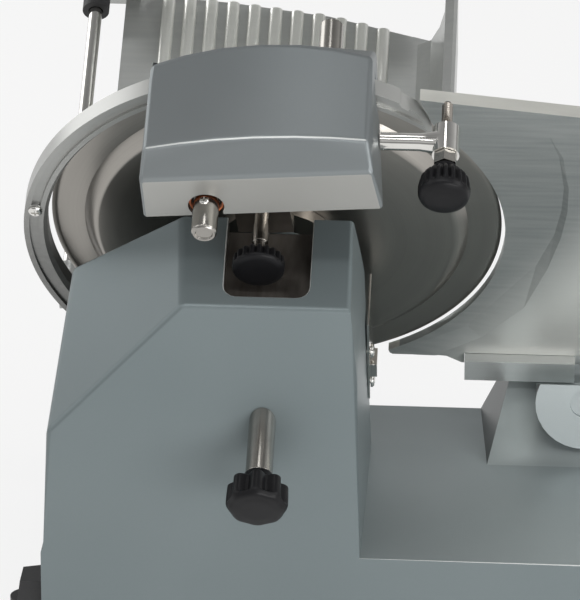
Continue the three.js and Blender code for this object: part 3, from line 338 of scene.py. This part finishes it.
def abrasive():
    f = Finish("abrasive")
    grit = f.node("ShaderNodeTexVoronoi", {}, {"Vector": f.place, "Scale": 2600.0}, "Distance")
    tint = f.noise(500, 3)
    f.set("Base Color", f.blend(tint, (0.36, 0.16, 0.10), (0.62, 0.36, 0.26)))
    f.set("Roughness", 0.85 + 0.1 * tint)
    f.bump(grit, 0.6, 0.0005)
    return f.material


def orangeBush():
    f = Finish("orangeBush")
    tint = f.noise(260, 3)
    f.set("Base Color", f.blend(tint, (0.40, 0.10, 0.03), (0.62, 0.18, 0.06)))
    f.set("Roughness", 0.4 + 0.15 * tint)
    f.bump(f.noise(1200, 2), 0.12, 0.0003)
    return f.material


def buttonGloss(name, low, high):
    f = Finish(name, Coat_Roughness=0.15)
    tint = f.noise(180, 2)
    f.set("Base Color", f.blend(tint, low, high))
    f.set("Roughness", 0.25 + 0.1 * tint)
    f.set("Coat Weight", 0.3 + 0.1 * tint)
    f.bump(f.noise(1000, 2), 0.05, 0.0002)
    return f.material


satin = satinAluminium("satinAluminium", (0.42, 0.435, 0.43), (0.58, 0.585, 0.56), 0.3)
# Painted light: the gauge plate lighter towards its lower right, the ring lighter at its top and
# darker below
platePaintedLight = {
    "across": 1.5, "up": -1.0, "from": 0.215, "to": 0.315,
    "dark": (0.24, 0.265, 0.265), "pale": (0.95, 0.95, 0.90), "streak": (0.80, 0.80, 0.77),
}
ringPaintedLight = {
    "across": 0.2, "up": 1.0, "from": -0.06, "to": 0.07,
    "dark": (0.19, 0.19, 0.185), "pale": (0.44, 0.445, 0.43), "streak": (0.50, 0.50, 0.48),
}
plate = plateAluminiumWithPaintedLight("plateAluminiumWithPaintedLight", platePaintedLight)
ring = plateAluminiumWithPaintedLight("ringAluminiumWithPaintedLight", ringPaintedLight)
steel = groundSteel("groundSteel", (0.42, 0.40, 0.37), (0.58, 0.56, 0.52))
dullSteel = groundSteel("dullSteel", (0.27, 0.25, 0.225), (0.34, 0.315, 0.285))
spacerSteel = groundSteel("spacerSteel", (0.33, 0.315, 0.29), (0.40, 0.385, 0.36))
# A pale copy of the casting on the rounded rims and the hood's crease: a painted highlight
paintedEdgeLight = castBody("edgePaintedHighlight", (0.52, 0.545, 0.54), (0.68, 0.69, 0.67))
finishes = {
    "cast": castBody("castBody", (0.142, 0.176, 0.184), (0.205, 0.238, 0.243)),
    "satin": satin, "sheet": steel, "motor": motorGrey(),
    "machined": satinAluminium("machinedAluminium", (0.46, 0.46, 0.44), (0.60, 0.60, 0.57), 0.26),
    "belt": softRubber("beltRubber"), "steel": steel, "blade": bladeSteel(),
    "chrome": polishedChrome(), "knob": blackKnob(), "plastic": mattePlastic("mattePlastic"),
    "stone": abrasive(), "bush": orangeBush(),
    "green": buttonGloss("greenGloss", (0.01, 0.17, 0.05), (0.02, 0.26, 0.08)),
    "red": buttonGloss("redGloss", (0.38, 0.01, 0.01), (0.52, 0.03, 0.02)),
    "foot_rubber": softRubber("footRubber"),
}
bracketMetal = satinAluminium("bracketAluminium", (0.40, 0.42, 0.41), (0.52, 0.53, 0.52), 0.3)
ownFinish = {
    "sharpener_cover": castHood("castHood", (0.20, 0.222, 0.23), (0.27, 0.288, 0.292)),
    "gauge_plate": plate, "gauge_bracket": bracketMetal, "ring_guard": ring,
    "spindle": dullSteel, "stop_screw": dullSteel, "sharpener_stud": dullSteel,
    "tie_rod_spacer": spacerSteel, "truing_button": spacerSteel, "grinding_button": spacerSteel,
    "stop_lock_nut": steel,
}
print("finishes made:", len(finishes) + len(ownFinish))


def deselectAll():
    if bpy.context.object and bpy.context.object.mode != "OBJECT":
        bpy.ops.object.mode_set(mode="OBJECT")
    bpy.ops.object.select_all(action="DESELECT")


def pickUp(piece):
    deselectAll()
    piece.select_set(True)
    bpy.context.view_layer.objects.active = piece


def dress(piece, material):
    piece.data.materials.clear()
    piece.data.materials.append(material)


# Smooth shading that keeps flat faces flat between the rounded edges
def shade(piece, angle):
    pickUp(piece)
    bpy.ops.object.shade_smooth_by_angle(angle=math.radians(angle))
    bpy.ops.object.modifier_add(type="WEIGHTED_NORMAL")
    piece.modifiers[-1].keep_sharp = True
    bpy.ops.object.modifier_apply(modifier=piece.modifiers[-1].name)


def handOver(piece, node, stands=True, finish=None):
    dress(piece, finish or ownFinish.get(node) or finishes[slotOf[node]])
    if stands:
        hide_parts(node)
    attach(piece, bodyOf[node])


# What counts as an arc's edge: its ends level and on one circle, its length, and how near a new
# point lies to its place
arcLimits = {"level": 0.02, "circle": 0.03, "shortest": 1.2, "share": 0.45, "match": 0.01}


# Adds points on the long arcs round an axis, so that they are seen as curves
def finerArcs(piece, axis, least, cuts):
    drawn = bmesh.from_edit_mesh(piece.data)
    back = axis.inverted()
    arcs, places, radii = [], [], []
    for edge in drawn.edges:
        a, b = (back @ point.co / mm for point in edge.verts)
        radius, long = math.hypot(a.x, a.y), (a - b).length
        level = abs(a.z - b.z) < arcLimits["level"]
        sameCircle = level and abs(radius - math.hypot(b.x, b.y)) < arcLimits["circle"]
        inLength = arcLimits["shortest"] < long < arcLimits["share"] * radius
        if sameCircle and radius > least and inLength:
            arcs.append(edge)
            for k in range(cuts):
                places.append(a.lerp(b, (k + 1) / (cuts + 1)))
                radii.append(radius)
    tree = kdtree.KDTree(len(places))
    for k, place in enumerate(places):
        tree.insert(place, k)
    tree.balance()
    before = set(drawn.verts)
    bmesh.ops.subdivide_edges(drawn, edges=arcs, cuts=cuts)
    for point in drawn.verts:
        if point in before:
            continue
        place = back @ point.co / mm
        _, k, gap = tree.find(place)
        if gap < arcLimits["match"]:
            grow = radii[k] / math.hypot(place.x, place.y)
            point.co = axis @ (Vector((place.x * grow, place.y * grow, place.z)) * mm)
    bmesh.update_edit_mesh(piece.data)


# Sinks the end face that lies beyond a height on the hood's z, leaving a rim
def dished(piece, rim, depth, beyond):
    slope, facing = 0.5, 0.99
    bpy.ops.mesh.select_all(action="DESELECT")
    bpy.ops.mesh.select_mode(type="FACE")
    drawn = bmesh.from_edit_mesh(piece.data)
    for face in drawn.faces:
        height = (hoodFrame.inverted() @ face.calc_center_median() / mm).z
        looks = (hoodFrame.inverted().to_3x3() @ face.normal).z
        face.select_set(height > beyond and looks > facing)
    bmesh.update_edit_mesh(piece.data)
    bpy.ops.mesh.inset(thickness=rim * mm, depth=0)
    bpy.ops.mesh.inset(thickness=slope * mm, depth=-depth * mm)


# A smooth copy of a CAD node: each pass rounds its edges by a width, if longer and sharper than
# the next two, and if they are convex with their middle where a fourth entry says
def refined(node, s):
    source = frame["nodes"][node]
    piece = bpy.data.objects.new(node + "_finished", source.data.copy())
    bpy.context.scene.collection.objects.link(piece)
    pickUp(piece)
    bpy.ops.object.mode_set(mode="EDIT")
    bpy.ops.mesh.select_all(action="SELECT")
    bpy.ops.mesh.customdata_custom_splitnormals_clear()
    bpy.ops.mesh.remove_doubles(threshold=0.00001)
    bpy.ops.mesh.dissolve_limited(angle_limit=math.radians(s.get("flat", 0.6)))
    if "arcs" in s:
        finerArcs(piece, *s["arcs"])
    for width, longer, sharper, *where in s["round"]:
        bpy.ops.mesh.select_all(action="DESELECT")
        bpy.ops.mesh.select_mode(type="EDGE")
        bpy.ops.mesh.edges_select_sharp(sharpness=math.radians(sharper))
        drawn = bmesh.from_edit_mesh(piece.data)
        for edge in drawn.edges:
            a, b = (point.co for point in edge.verts)
            short = edge.calc_length() < longer * mm
            if short or where and not (edge.is_convex and where[0]((a + b) / 2 / mm)):
                edge.select_set(False)
        bmesh.update_edit_mesh(piece.data)
        bpy.ops.mesh.bevel(offset=width * mm, offset_type="OFFSET", segments=s.get("steps", 3),
                           profile=0.5, clamp_overlap=not where)
    if "dish" in s:
        dished(piece, *s["dish"])
    bpy.ops.mesh.select_all(action="SELECT")
    bpy.ops.mesh.remove_doubles(threshold=0.000005)
    bpy.ops.object.mode_set(mode="OBJECT")
    if "turn" in s:
        angle, place = s["turn"]
        axis = hoodAt(place)
        piece.data.transform(axis @ turned(angle, "Z") @ axis.inverted())
    shade(piece, s.get("smooth", 35))
    handOver(piece, node)
    for finish, test in s.get("faces", []):
        piece.data.materials.append(finish)
        for face in piece.data.polygons:
            centre = bladeFrame.inverted() @ face.center / mm
            if test(centre, bladeFrame.inverted().to_3x3() @ face.normal):
                face.material_index = len(piece.data.materials) - 1
    return piece


# Settings of the refined nodes. round: width, least length and least sharpness of each pass;
# steps: segments of a rounding; smooth: the angle that stays sharp;
# arcs: axis, least radius and cuts; dish: rim, depth and height;
# turn: degrees and place in the hood's frame; faces: a finish and a test
small = {"round": [(0.3, 0.6, 35)], "steps": 2}
medium = {"round": [(0.6, 1.5, 35)], "steps": 2}


def inHood(point):
    return hoodFrame.inverted() @ (point * mm) / mm


def onRecessEdge(point):
    x, y, z = bladeFrame.inverted() @ (point * mm) / mm
    return y > 56.4 and -23.2 < x < 25.2 and 35 < z < 99.2


def onTower(middle):
    return middle.x < -8 and middle.y < -40 and middle.z > 40


def onHoodTop(middle):
    return inHood(middle).y > 39.5


def onDeckEdge(middle):
    return middle.x > -8 and middle.y < -160 and 70 < middle.z < 80


towerEdges = (2.5, 60, 12, onTower)
hoodEdges = (2.2, 3, 12, onHoodTop)
recessEdge = (0.8, 0.2, 40, onRecessEdge)
deckEdge = (1.6, 60, 25, onDeckEdge)


# Faces of the recess that get its painted shade
def inRecess(centre, normal):
    return -22.6 < centre.x < 24.6 and 35.6 < centre.z < 98.6 and 43 < centre.y < 56.2


def turnedBack(centre, normal):
    return normal.z > 0.97 and centre.z > 60


# Cosine and sine of the blade's lean, the height of its centre, and where the pedestal starts
leanCos, leanSin, bladeHeight = 0.866, 0.5, 224.5
pedestalFoot = 77


# How far a face looks up, and how far towards the camera's side
def upward(normal):
    return leanCos * normal.y - leanSin * normal.z


def rearward(normal):
    return leanSin * normal.y + leanCos * normal.z


def heightOf(centre):
    return bladeHeight + leanCos * centre.y - leanSin * centre.z


# Where painted light and shade go: highlights on rims and the hood's crease, lighter copies of the
# casting on the deck, pedestal and drum, a darker one on the flank
def recessRim(centre, normal):
    around = -24.4 < centre.x < 26.4 and 33.8 < centre.z < 100.4
    return around and centre.y > 54 and 0.3 < normal.y < 0.97


def deckRim(centre, normal):
    around = centre.x > 62 and 72 < heightOf(centre) < pedestalFoot
    return around and 0.38 < upward(normal) < 0.93 and rearward(normal) > 0.3


def onDeck(centre, normal):
    return centre.x > 58 and upward(normal) > 0.97


def onPedestal(centre, normal):
    above = centre.x > 95 and heightOf(centre) > pedestalFoot
    return above and rearward(normal) > 0.4 and normal.x > -0.3


def onFlank(centre, normal):
    return centre.x > 95 and heightOf(centre) > pedestalFoot and normal.x < -0.7


def onDrum(centre, normal):
    return centre.x > 125 and heightOf(centre) > pedestalFoot and rearward(normal) > 0.985


def hoodCrease(centre, normal):
    return centre.y > 125 and 58.7 < centre.z < 59.1 and abs(normal.x) < 0.4


def plateTop(centre, normal):
    return normal.y > 0.85


def bracketFront(centre, normal):
    return normal.z > 0.9


stopPlace = (103.7, 46.1)
refinedNodes = {
    # The base's faces: painted shade in the recess, painted highlights on the recess's and the
    # deck's rims, lighter copies of the casting standing in for light on the deck, pedestal and
    # drum, and a darker one for shade on the pedestal's flank
    "base_housing": {"round": [towerEdges, deckEdge, recessEdge, (1.0, 8, 14)], "steps": 4,
                     "faces": [
        (recessShade(), inRecess), (paintedEdgeLight, recessRim), (paintedEdgeLight, deckRim),
        (castBody("deckPaintedLight", (0.25, 0.295, 0.305), (0.345, 0.38, 0.385)), onDeck),
        (castBody("flankPaintedShade", (0.07, 0.08, 0.08), (0.11, 0.12, 0.12)), onFlank),
        (castBody("pedestalPaintedLight", (0.36, 0.41, 0.415), (0.46, 0.50, 0.50)), onPedestal),
        (castBody("drumPaintedLight", (0.47, 0.52, 0.525), (0.60, 0.64, 0.64)), onDrum)]},
    # The hood's faces turned back in a lighter copy of its paint, which is painted light, and a
    # painted highlight along its crease
    "sharpener_cover": {"round": [hoodEdges], "steps": 5, "faces": [
        (castHood("hoodLipPaintedLight", (0.37, 0.37, 0.355), (0.48, 0.48, 0.455)), turnedBack),
        (paintedEdgeLight, hoodCrease)]},
    "ring_guard": {"round": [(0.5, 1, 30)], "steps": 2, "arcs": (bladeFrame, 60, 3)},
    "blade": {"round": [(0.25, 1, 20)], "steps": 2, "arcs": (bladeFrame, 25, 2)},
    "blade_cover": {"round": [(0.5, 1, 20)], "steps": 2, "arcs": (bladeFrame, 25, 2)},
    # The plate's top faces in a pale copy: a painted highlight
    "gauge_plate": {"round": [(1.2, 2, 40)], "steps": 3, "smooth": 6, "faces": [
        (satinAluminium("plateRimPaintedHighlight", (0.72, 0.72, 0.67), (0.86, 0.86, 0.80), 0.3), plateTop)]},
    # The bracket's front face in a pale copy: painted light
    "gauge_bracket": {"round": [(0.8, 2, 35)], "steps": 2, "faces": [
        (satinAluminium("bracketFacePaintedLight", (0.82, 0.84, 0.83), (0.92, 0.93, 0.91), 0.3),
         bracketFront)]},
    "carriage_table": {"round": [(0.7, 1, 30)], "steps": 2},
    "carriage_arm": {"round": [(1.2, 4, 35)], "steps": 3},
    "carriage_slider": medium, "carriage_handle": medium,
    "pusher_plate": {"round": [(0.8, 2, 35)], "steps": 2},
    "pusher_handle": medium, "pusher_collar": small, "pusher_rod": small, "slide_rod": small,
    "carriage_roller": small, "carriage_lock_screw": small,
    "index_knob": medium, "index_cam_shaft": small, "cam_follower": small, "gauge_slide_bar": small,
    "tie_rod_spacer": small, "tie_rod": small, "stop_arm": medium,
    "stop_lock_nut": {**small, "turn": (30, stopPlace)},
    "sharpener_stud": small, "sharpener_bracket": small,
    "grinding_button": {**medium, "dish": (1.1, 0.8, 92.5)},
    "button_bush": small, "grinding_stone": small, "truing_stone": small, "truing_button": small,
    "slice_deflector": small, "switch_housing": small, "on_button": small, "off_button": small,
    "cable_gland": {"round": [(1.0, 2, 35)], "steps": 2},
    "foot_rear_left": medium, "foot_rear_right": medium,
    "foot_front_left": medium, "foot_front_right": medium,
    "bottom_cover": small, "spindle_housing": medium,
    "blade_screw_1": small, "blade_screw_2": small, "blade_screw_3": small,
    "spindle": {"round": []}, "blade_pulley": small, "motor_pulley": small,
}
for node, settings in refinedNodes.items():
    refined(node, settings)
print("refined pieces:", len(refinedNodes))


# A round piece: its half outline is drawn by extruding one point, rounded at its corners and
# spun about z
def spun(name, outline, corner, cuts, steps):
    deselectAll()
    first = (outline[0][0] * mm, 0, outline[0][1] * mm)
    bpy.ops.mesh.primitive_plane_add(size=mm, location=first)
    piece = bpy.context.object
    piece.name = name
    bpy.ops.object.transform_apply(location=True, rotation=True, scale=True)
    bpy.ops.object.mode_set(mode="EDIT")
    bpy.ops.mesh.select_mode(type="VERT")
    bpy.ops.mesh.select_all(action="SELECT")
    bpy.ops.mesh.merge(type="CENTER")
    for (r0, z0), (r1, z1) in zip(outline, outline[1:]):
        bpy.ops.mesh.extrude_vertices_move(
            TRANSFORM_OT_translate={"value": ((r1 - r0) * mm, 0, (z1 - z0) * mm)})
    bpy.ops.mesh.select_all(action="SELECT")
    if corner:
        bpy.ops.mesh.bevel(offset=corner * mm, offset_type="OFFSET", segments=3, affect="VERTICES")
        bpy.ops.mesh.select_all(action="SELECT")
    if cuts:
        bpy.ops.mesh.subdivide(number_cuts=cuts)
    bpy.ops.mesh.spin(steps=steps, angle=math.tau, center=(0, 0, 0), axis=(0, 0, 1))
    bpy.ops.mesh.select_all(action="SELECT")
    bpy.ops.mesh.remove_doubles(threshold=0.000002)
    bpy.ops.mesh.normals_make_consistent(inside=False)
    bpy.ops.object.mode_set(mode="OBJECT")
    return piece


# Flutes or lobes: the points of a spun piece move in by a wave round its axis, between two heights
def waved(piece, s):
    for point in piece.data.vertices:
        x, y, z = point.co / mm
        radius = math.hypot(x, y)
        if radius < s["within"] or not s["low"] <= z <= s["high"]:
            continue
        rise = (z - s["low"]) / s["fade"] + s.get("lowStart", 0)
        fade = min(1, rise, (s["high"] - z) / s["fade"])
        share = min(1, (radius - s["within"]) / s["blend"])
        wave = (0.5 + 0.5 * math.cos(s["count"] * math.atan2(y, x))) ** s["power"]
        pull = 1 - s["depth"] * wave * max(0, fade) * share / radius
        point.co.x *= pull
        point.co.y *= pull


def settle(piece, matrix, angle=30):
    pickUp(piece)
    piece.matrix_world = matrix
    bpy.ops.object.transform_apply(location=True, rotation=True, scale=True)
    shade(piece, angle)


# The two fluted knobs: a narrow neck, slots round the shoulder and a smooth domed face
flutedKnobs = {
    "sharpener_knob": {
        "at": (0, 0), "radius": 14.1, "start": 73.3, "end": 85.5, "neck": 7.0, "shoulder": 75.3,
        "outline": [(0.80, 0.02), (0.97, 0.13), (1, 0.3), (1, 0.8), (0.95, 0.92), (0.8, 0.985),
                    (0.4, 0.995)],
        "fluted": 0.76},
    "stop_knob": {
        "at": stopPlace, "radius": 13.9, "start": 56.0, "end": 79.0, "neck": 6.5, "shoulder": 60.0,
        "outline": [(0.72, 0.04), (0.93, 0.24), (1, 0.52), (1, 0.72), (0.93, 0.87), (0.74, 0.955),
                    (0.4, 0.995)],
        "fluted": 0.74},
}
flutes = {"count": 20, "depth": 1.9, "power": 1.6}


def flutedKnob(node, s):
    r, z0, z1, z2 = s["radius"], s["start"], s["shoulder"], s["end"]
    long = z2 - z1
    side = [(r * out, z1 + along * long) for out, along in s["outline"]]
    outline = [(0, z0), (s["neck"], z0), (s["neck"], z1), *side, (0, z2)]
    piece = spun(node + "_turned", outline, 0.9, 2, 200)
    waved(piece, {**flutes, "within": s["neck"] + 1.2, "blend": 1.5, "low": z1 - 0.2,
                  "high": z1 + s["fluted"] * long, "fade": 0.16 * long, "lowStart": 1})
    settle(piece, hoodAt(s["at"]), 40)
    handOver(piece, node)


for node, settings in flutedKnobs.items():
    flutedKnob(node, settings)
print("fluted knobs turned")

# The lobed knob of the tie rod: deep grooves down its side and a shallow-lobed cap
lobedSet = {"hub": 8.0, "start": 174.5, "body": 181.5, "end": 197.5, "radius": 16.6, "lobes": 8}


def lobedKnob(node, s):
    z0, z1, z2, r = s["start"], s["body"], s["end"], s["radius"]
    outline = [(0, z0), (s["hub"], z0), (s["hub"] + 0.4, z1), (r - 0.4, z1), (r, (z1 + z2) / 2),
               (r, z2 - 3.4), (r - 2.2, z2 - 0.4), (r * 0.5, z2), (0, z2)]
    piece = spun(node + "_turned", outline, 1.0, 3, 192)
    cap = {"count": s["lobes"], "power": 1.0, "within": s["hub"] + 1, "blend": 3,
           "low": z1 - 1, "fade": 1.5, "lowStart": 1}
    waved(piece, {**cap, "depth": 0.7, "high": z2 + 2})
    waved(piece, {**cap, "depth": 2.9, "high": z2 - 3.0, "power": 1.6})
    settle(piece, bladeFrame @ turned(180 / s["lobes"], "Z"), 40)
    handOver(piece, node)


lobedKnob("tie_rod_knob", lobedSet)

# Ribs of the table: half-round ridges that run to its far edge
ribSet = {
    "first": -80, "pitch": 13, "count": 11, "wide": 3.9, "high": 3.1, "near": 7, "top": -90,
    "short": 0.9, "sunk": 0.05, "corner": 0.7,
    "edge": [(95, 205.5), (66, 214), (17, 228), (-42, 237), (-106, 243)],
}


def edgeAt(x, corners):
    for (x1, n1), (x0, n0) in zip(corners, corners[1:]):
        if x0 <= x <= x1:
            return n0 + (n1 - n0) * (x - x0) / (x1 - x0)


def tableRibs(s):
    ribs = []
    floor = (s["top"] - s["sunk"]) * mm
    for k in range(s["count"]):
        x = s["first"] + s["pitch"] * k
        far = edgeAt(x, s["edge"]) - s["short"]
        deselectAll()
        bpy.ops.mesh.primitive_cylinder_add(vertices=48, radius=mm, depth=(far - s["near"]) * mm,
                                            location=(0, 0, 0))
        rib = bpy.context.object
        rib.scale = (s["wide"], s["high"], 1)
        rib.location = (x * mm, floor, -(far + s["near"]) / 2 * mm)
        bpy.ops.object.transform_apply(location=True, rotation=True, scale=True)
        bpy.ops.object.mode_set(mode="EDIT")
        bpy.ops.mesh.select_all(action="SELECT")
        bpy.ops.mesh.bisect(plane_co=(0, floor, 0), plane_no=(0, -1, 0), clear_outer=True,
                            use_fill=True)
        bpy.ops.mesh.select_all(action="DESELECT")
        bpy.ops.mesh.select_mode(type="EDGE")
        bpy.ops.mesh.edges_select_sharp(sharpness=math.radians(60))
        bpy.ops.mesh.bevel(offset=s["corner"] * mm, offset_type="OFFSET", segments=3, profile=0.5,
                           clamp_overlap=True)
        bpy.ops.object.mode_set(mode="OBJECT")
        ribs.append(rib)
    deselectAll()
    for rib in ribs:
        rib.select_set(True)
    bpy.context.view_layer.objects.active = ribs[0]
    bpy.ops.object.join()
    ribs[0].name = "carriage_table_ribs"
    settle(ribs[0], bladeFrame, 40)
    # The ribs in a far lighter copy of the table's aluminium: a painted highlight
    paintedLight = satinAluminium("ribPaintedHighlight", (0.82, 0.825, 0.785), (0.94, 0.94, 0.89), 0.28)
    handOver(ribs[0], "carriage_table", False, paintedLight)


tableRibs(ribSet)
print("table ribbed")

# Threads: a three-sided ridge wound round the plain rods
threads = {
    "stop_screw": {
        "at": stopPlace, "root": 2.15, "crest": 2.95, "pitch": 1.25, "low": 13.4, "turns": 13},
    "sharpener_stud": {
        "at": (0, 0), "root": 2.9, "crest": 3.5, "pitch": 1.0, "low": 66.6, "turns": 6},
}


def wound(node, s):
    half = s["pitch"] * 0.48
    deselectAll()
    bpy.ops.mesh.primitive_circle_add(vertices=3, radius=half * mm, fill_type="NOTHING",
                                      location=(0, 0, 0))
    piece = bpy.context.object
    piece.name = node + "_thread"
    corners = [(s["root"], -half), (s["crest"], 0), (s["root"], half)]
    for point, (r, z) in zip(piece.data.vertices, corners):
        point.co = (r * mm, 0, (s["low"] + z) * mm)
    bpy.ops.object.modifier_add(type="SCREW")
    screw = piece.modifiers[-1]
    screw.axis, screw.angle, screw.screw_offset = "Z", math.tau, s["pitch"] * mm
    screw.iterations, screw.steps, screw.render_steps = s["turns"], 24, 24
    bpy.ops.object.modifier_apply(modifier=screw.name)
    bpy.ops.object.mode_set(mode="EDIT")
    bpy.ops.mesh.select_all(action="SELECT")
    bpy.ops.mesh.fill_holes(sides=3)
    bpy.ops.mesh.select_all(action="SELECT")
    bpy.ops.mesh.normals_make_consistent(inside=False)
    bpy.ops.object.mode_set(mode="OBJECT")
    settle(piece, hoodAt(s["at"]), 40)
    handOver(piece, node, stands=False)


for node, settings in threads.items():
    wound(node, settings)


# The stop's rod: rounded tip, thinner under its thread
stopRodSet = {
    "tip": 1.9, "thin": 2.2, "full": 2.9, "start": 11.7, "cone": 12.8, "step": 30.2, "end": 72.9,
}


def stopRod(s):
    outline = [(0, s["start"]), (s["tip"], s["start"]), (s["thin"], s["cone"]),
               (s["thin"], s["step"]), (s["full"], s["step"]), (s["full"], s["end"]), (0, s["end"])]
    piece = spun("stop_screw_turned", outline, 0.2, 0, 48)
    settle(piece, hoodAt(stopPlace))
    handOver(piece, "stop_screw")


stopRod(stopRodSet)
print("threads wound")

# Screws with a crossed slot, head along z from its seat
sideways, upOut = turned(90, "Y"), turned(-90, "X")
ringAngle, ringReach = math.radians(171), 0.1335
ringSpot = (ringReach * math.cos(ringAngle), ringReach * math.sin(ringAngle), 0.015)
deflectorScrew = {"head": 4.2, "high": 2.3, "shank": 2.3, "long": 8.5, "stands": True}
crossScrews = {
    "deflector_screw_1": {
        **deflectorScrew,
        "place": bladeFrame @ Matrix.Translation((0.054, -0.047, 0.054)) @ sideways},
    "deflector_screw_2": {
        **deflectorScrew,
        "place": bladeFrame @ Matrix.Translation((0.054, -0.074, 0.054)) @ sideways},
    "ring_guard": {
        "head": 3.9, "high": 1.9, "shank": 2.0, "long": 3.0, "stands": False,
        "place": bladeFrame @ Matrix.Translation(ringSpot)},
    "grinding_button": {
        "head": 2.7, "high": 1.6, "shank": 1.2, "long": 2.0, "stands": False,
        "place": hoodFrame @ Matrix.Translation((-0.0228, 0.0432 + 0.0064, 0.0755)) @ upOut},
}


def crossScrew(node, s):
    r, high = s["head"], s["high"]
    outline = [(0, -s["long"]), (s["shank"], -s["long"]), (s["shank"], 0), (r, 0), (r, high * 0.45),
               (r * 0.8, high * 0.85), (r * 0.4, high), (0, high)]
    piece = spun(node + "_cross_screw", outline, 0.15, 0, 40)
    cutters = []
    for turn in (0, 90):
        deselectAll()
        bpy.ops.mesh.primitive_cube_add(size=1, location=(0, 0, high * mm),
                                        rotation=(0, 0, math.radians(turn)))
        cutter = bpy.context.object
        cutter.scale = (r * 1.15 * mm, r * 0.26 * mm, high * 1.1 * mm)
        bpy.ops.object.transform_apply(location=True, rotation=True, scale=True)
        cutters.append(cutter)
    for cutter in cutters:
        pickUp(piece)
        bpy.ops.object.modifier_add(type="BOOLEAN")
        cut = piece.modifiers[-1]
        cut.operation, cut.object, cut.solver = "DIFFERENCE", cutter, "EXACT"
        bpy.ops.object.modifier_apply(modifier=cut.name)
        bpy.data.objects.remove(cutter)
    settle(piece, s["place"])
    handOver(piece, node, s["stands"], finishes["chrome"])


for node, settings in crossScrews.items():
    crossScrew(node, settings)
print("screws set")

# Sealed inside: the solids keep their own shape and get their finish
newlyMade = [*refinedNodes, *flutedKnobs, "tie_rod_knob", "stop_screw",
             "deflector_screw_1", "deflector_screw_2"]
for node, piece in frame["nodes"].items():
    if node not in newlyMade:
        dress(piece, finishes[slotOf[node]])

# The floor, seen white by the camera and in the metal, with the machine's shadow on it
floorSet = {"size": 7.0, "colour": (0.9, 0.9, 0.89), "lift": 0.78}


def addFloor(s):
    deselectAll()
    bpy.ops.mesh.primitive_plane_add(size=s["size"], location=(0, 0, 0))
    floor = bpy.context.object
    floor.name = "floor"
    f = Finish("paleFloor", Base_Color=s["colour"], Roughness=0.9)
    seen = f.node("ShaderNodeLightPath", {}, {}, "Is Camera Ray")
    paths = seen.socket.node.outputs
    for ray in ("Is Glossy Ray", "Is Transmission Ray"):
        seen = seen.atLeast(Wire(f, paths[ray]))
    glow = f.node("ShaderNodeEmission", {}, {"Color": (1, 1, 1, 1), "Strength": 1.0})
    mixed = f.node("ShaderNodeMixShader", {}, {0: seen * s["lift"], 2: glow})
    f.tree.links.new(f.shader.outputs[0], mixed.socket.node.inputs[1])
    f.tree.links.new(mixed.socket, f.tree.nodes["Material Output"].inputs["Surface"])
    dress(floor, f.material)


addFloor(floorSet)

# Lamps: where each stands, what it points at, its size and its power
lampSet = {
    "strip": {"at": (-0.12, 0.05, 2.0), "to": (-0.07, -0.05, 0.2), "size": (0.3, 0.3), "power": 1.5},
    "left": {"at": (-2.0, -0.6, 1.3), "to": (0, 0, 0.15), "size": (1.4, 1.4), "power": 6.5},
    "front": {"at": (1.1, -2.1, 0.25), "to": (0.05, 0, 0.15), "size": (1.8, 0.5), "power": 23},
    "right": {"at": (1.9, -0.8, 1.3), "to": (0, 0, 0.15), "size": (1.2, 1.2), "power": 15},
    "far": {"at": (-1.7, 1.2, 0.95), "to": (-0.05, 0, 0.25), "size": (1.0, 1.3), "power": 9},
    "crease": {"at": (-0.2, -1.2, 1.95), "to": (-0.05, -0.1, 0.3), "size": (2.0, 0.16), "power": 9},
}


def addLamp(name, s):
    data = bpy.data.lights.new(name, "AREA")
    data.shape, (data.size, data.size_y), data.energy = "RECTANGLE", s["size"], s["power"]
    lamp = bpy.data.objects.new(name, data)
    lamp.location = s["at"]
    lamp.rotation_euler = (Vector(s["to"]) - Vector(s["at"])).to_track_quat("-Z", "Y").to_euler()
    bpy.context.scene.collection.objects.link(lamp)


for name, settings in lampSet.items():
    addLamp(name, settings)

# The room: brightness from the ground up to straight above
worldSet = {
    "fill": 0.92,
    "stops": [(0.0, 0.6), (0.47, 0.5), (0.52, 0.33), (0.575, 0.24), (0.69, 0.66), (0.8, 0.48),
              (1.0, 0.24)],
}


def addWorld(s):
    world = bpy.data.worlds.new("studio")
    bpy.context.scene.world = world
    world.use_nodes = True
    tree = world.node_tree
    tree.nodes.clear()
    make = tree.nodes.new
    out, room = make("ShaderNodeOutputWorld"), make("ShaderNodeBackground")
    place, split = make("ShaderNodeTexCoord"), make("ShaderNodeSeparateXYZ")
    half, ramp = make("ShaderNodeMath"), make("ShaderNodeValToRGB")
    half.operation = "MULTIPLY_ADD"
    half.inputs[1].default_value = half.inputs[2].default_value = 0.5
    while len(ramp.color_ramp.elements) < len(s["stops"]):
        ramp.color_ramp.elements.new(0.5)
    for element, (position, value) in zip(ramp.color_ramp.elements, s["stops"]):
        element.position = position
        element.color = (value, value, value, 1)
    link = tree.links.new
    link(place.outputs["Generated"], split.inputs[0])
    link(split.outputs["Z"], half.inputs[0])
    link(half.outputs[0], ramp.inputs["Fac"])
    link(ramp.outputs["Color"], room.inputs["Color"])
    room.inputs["Strength"].default_value = s["fill"]
    link(room.outputs[0], out.inputs["Surface"])


addWorld(worldSet)
bpy.context.scene.view_settings.view_transform = "Standard"
print("floor, lamps and world set")
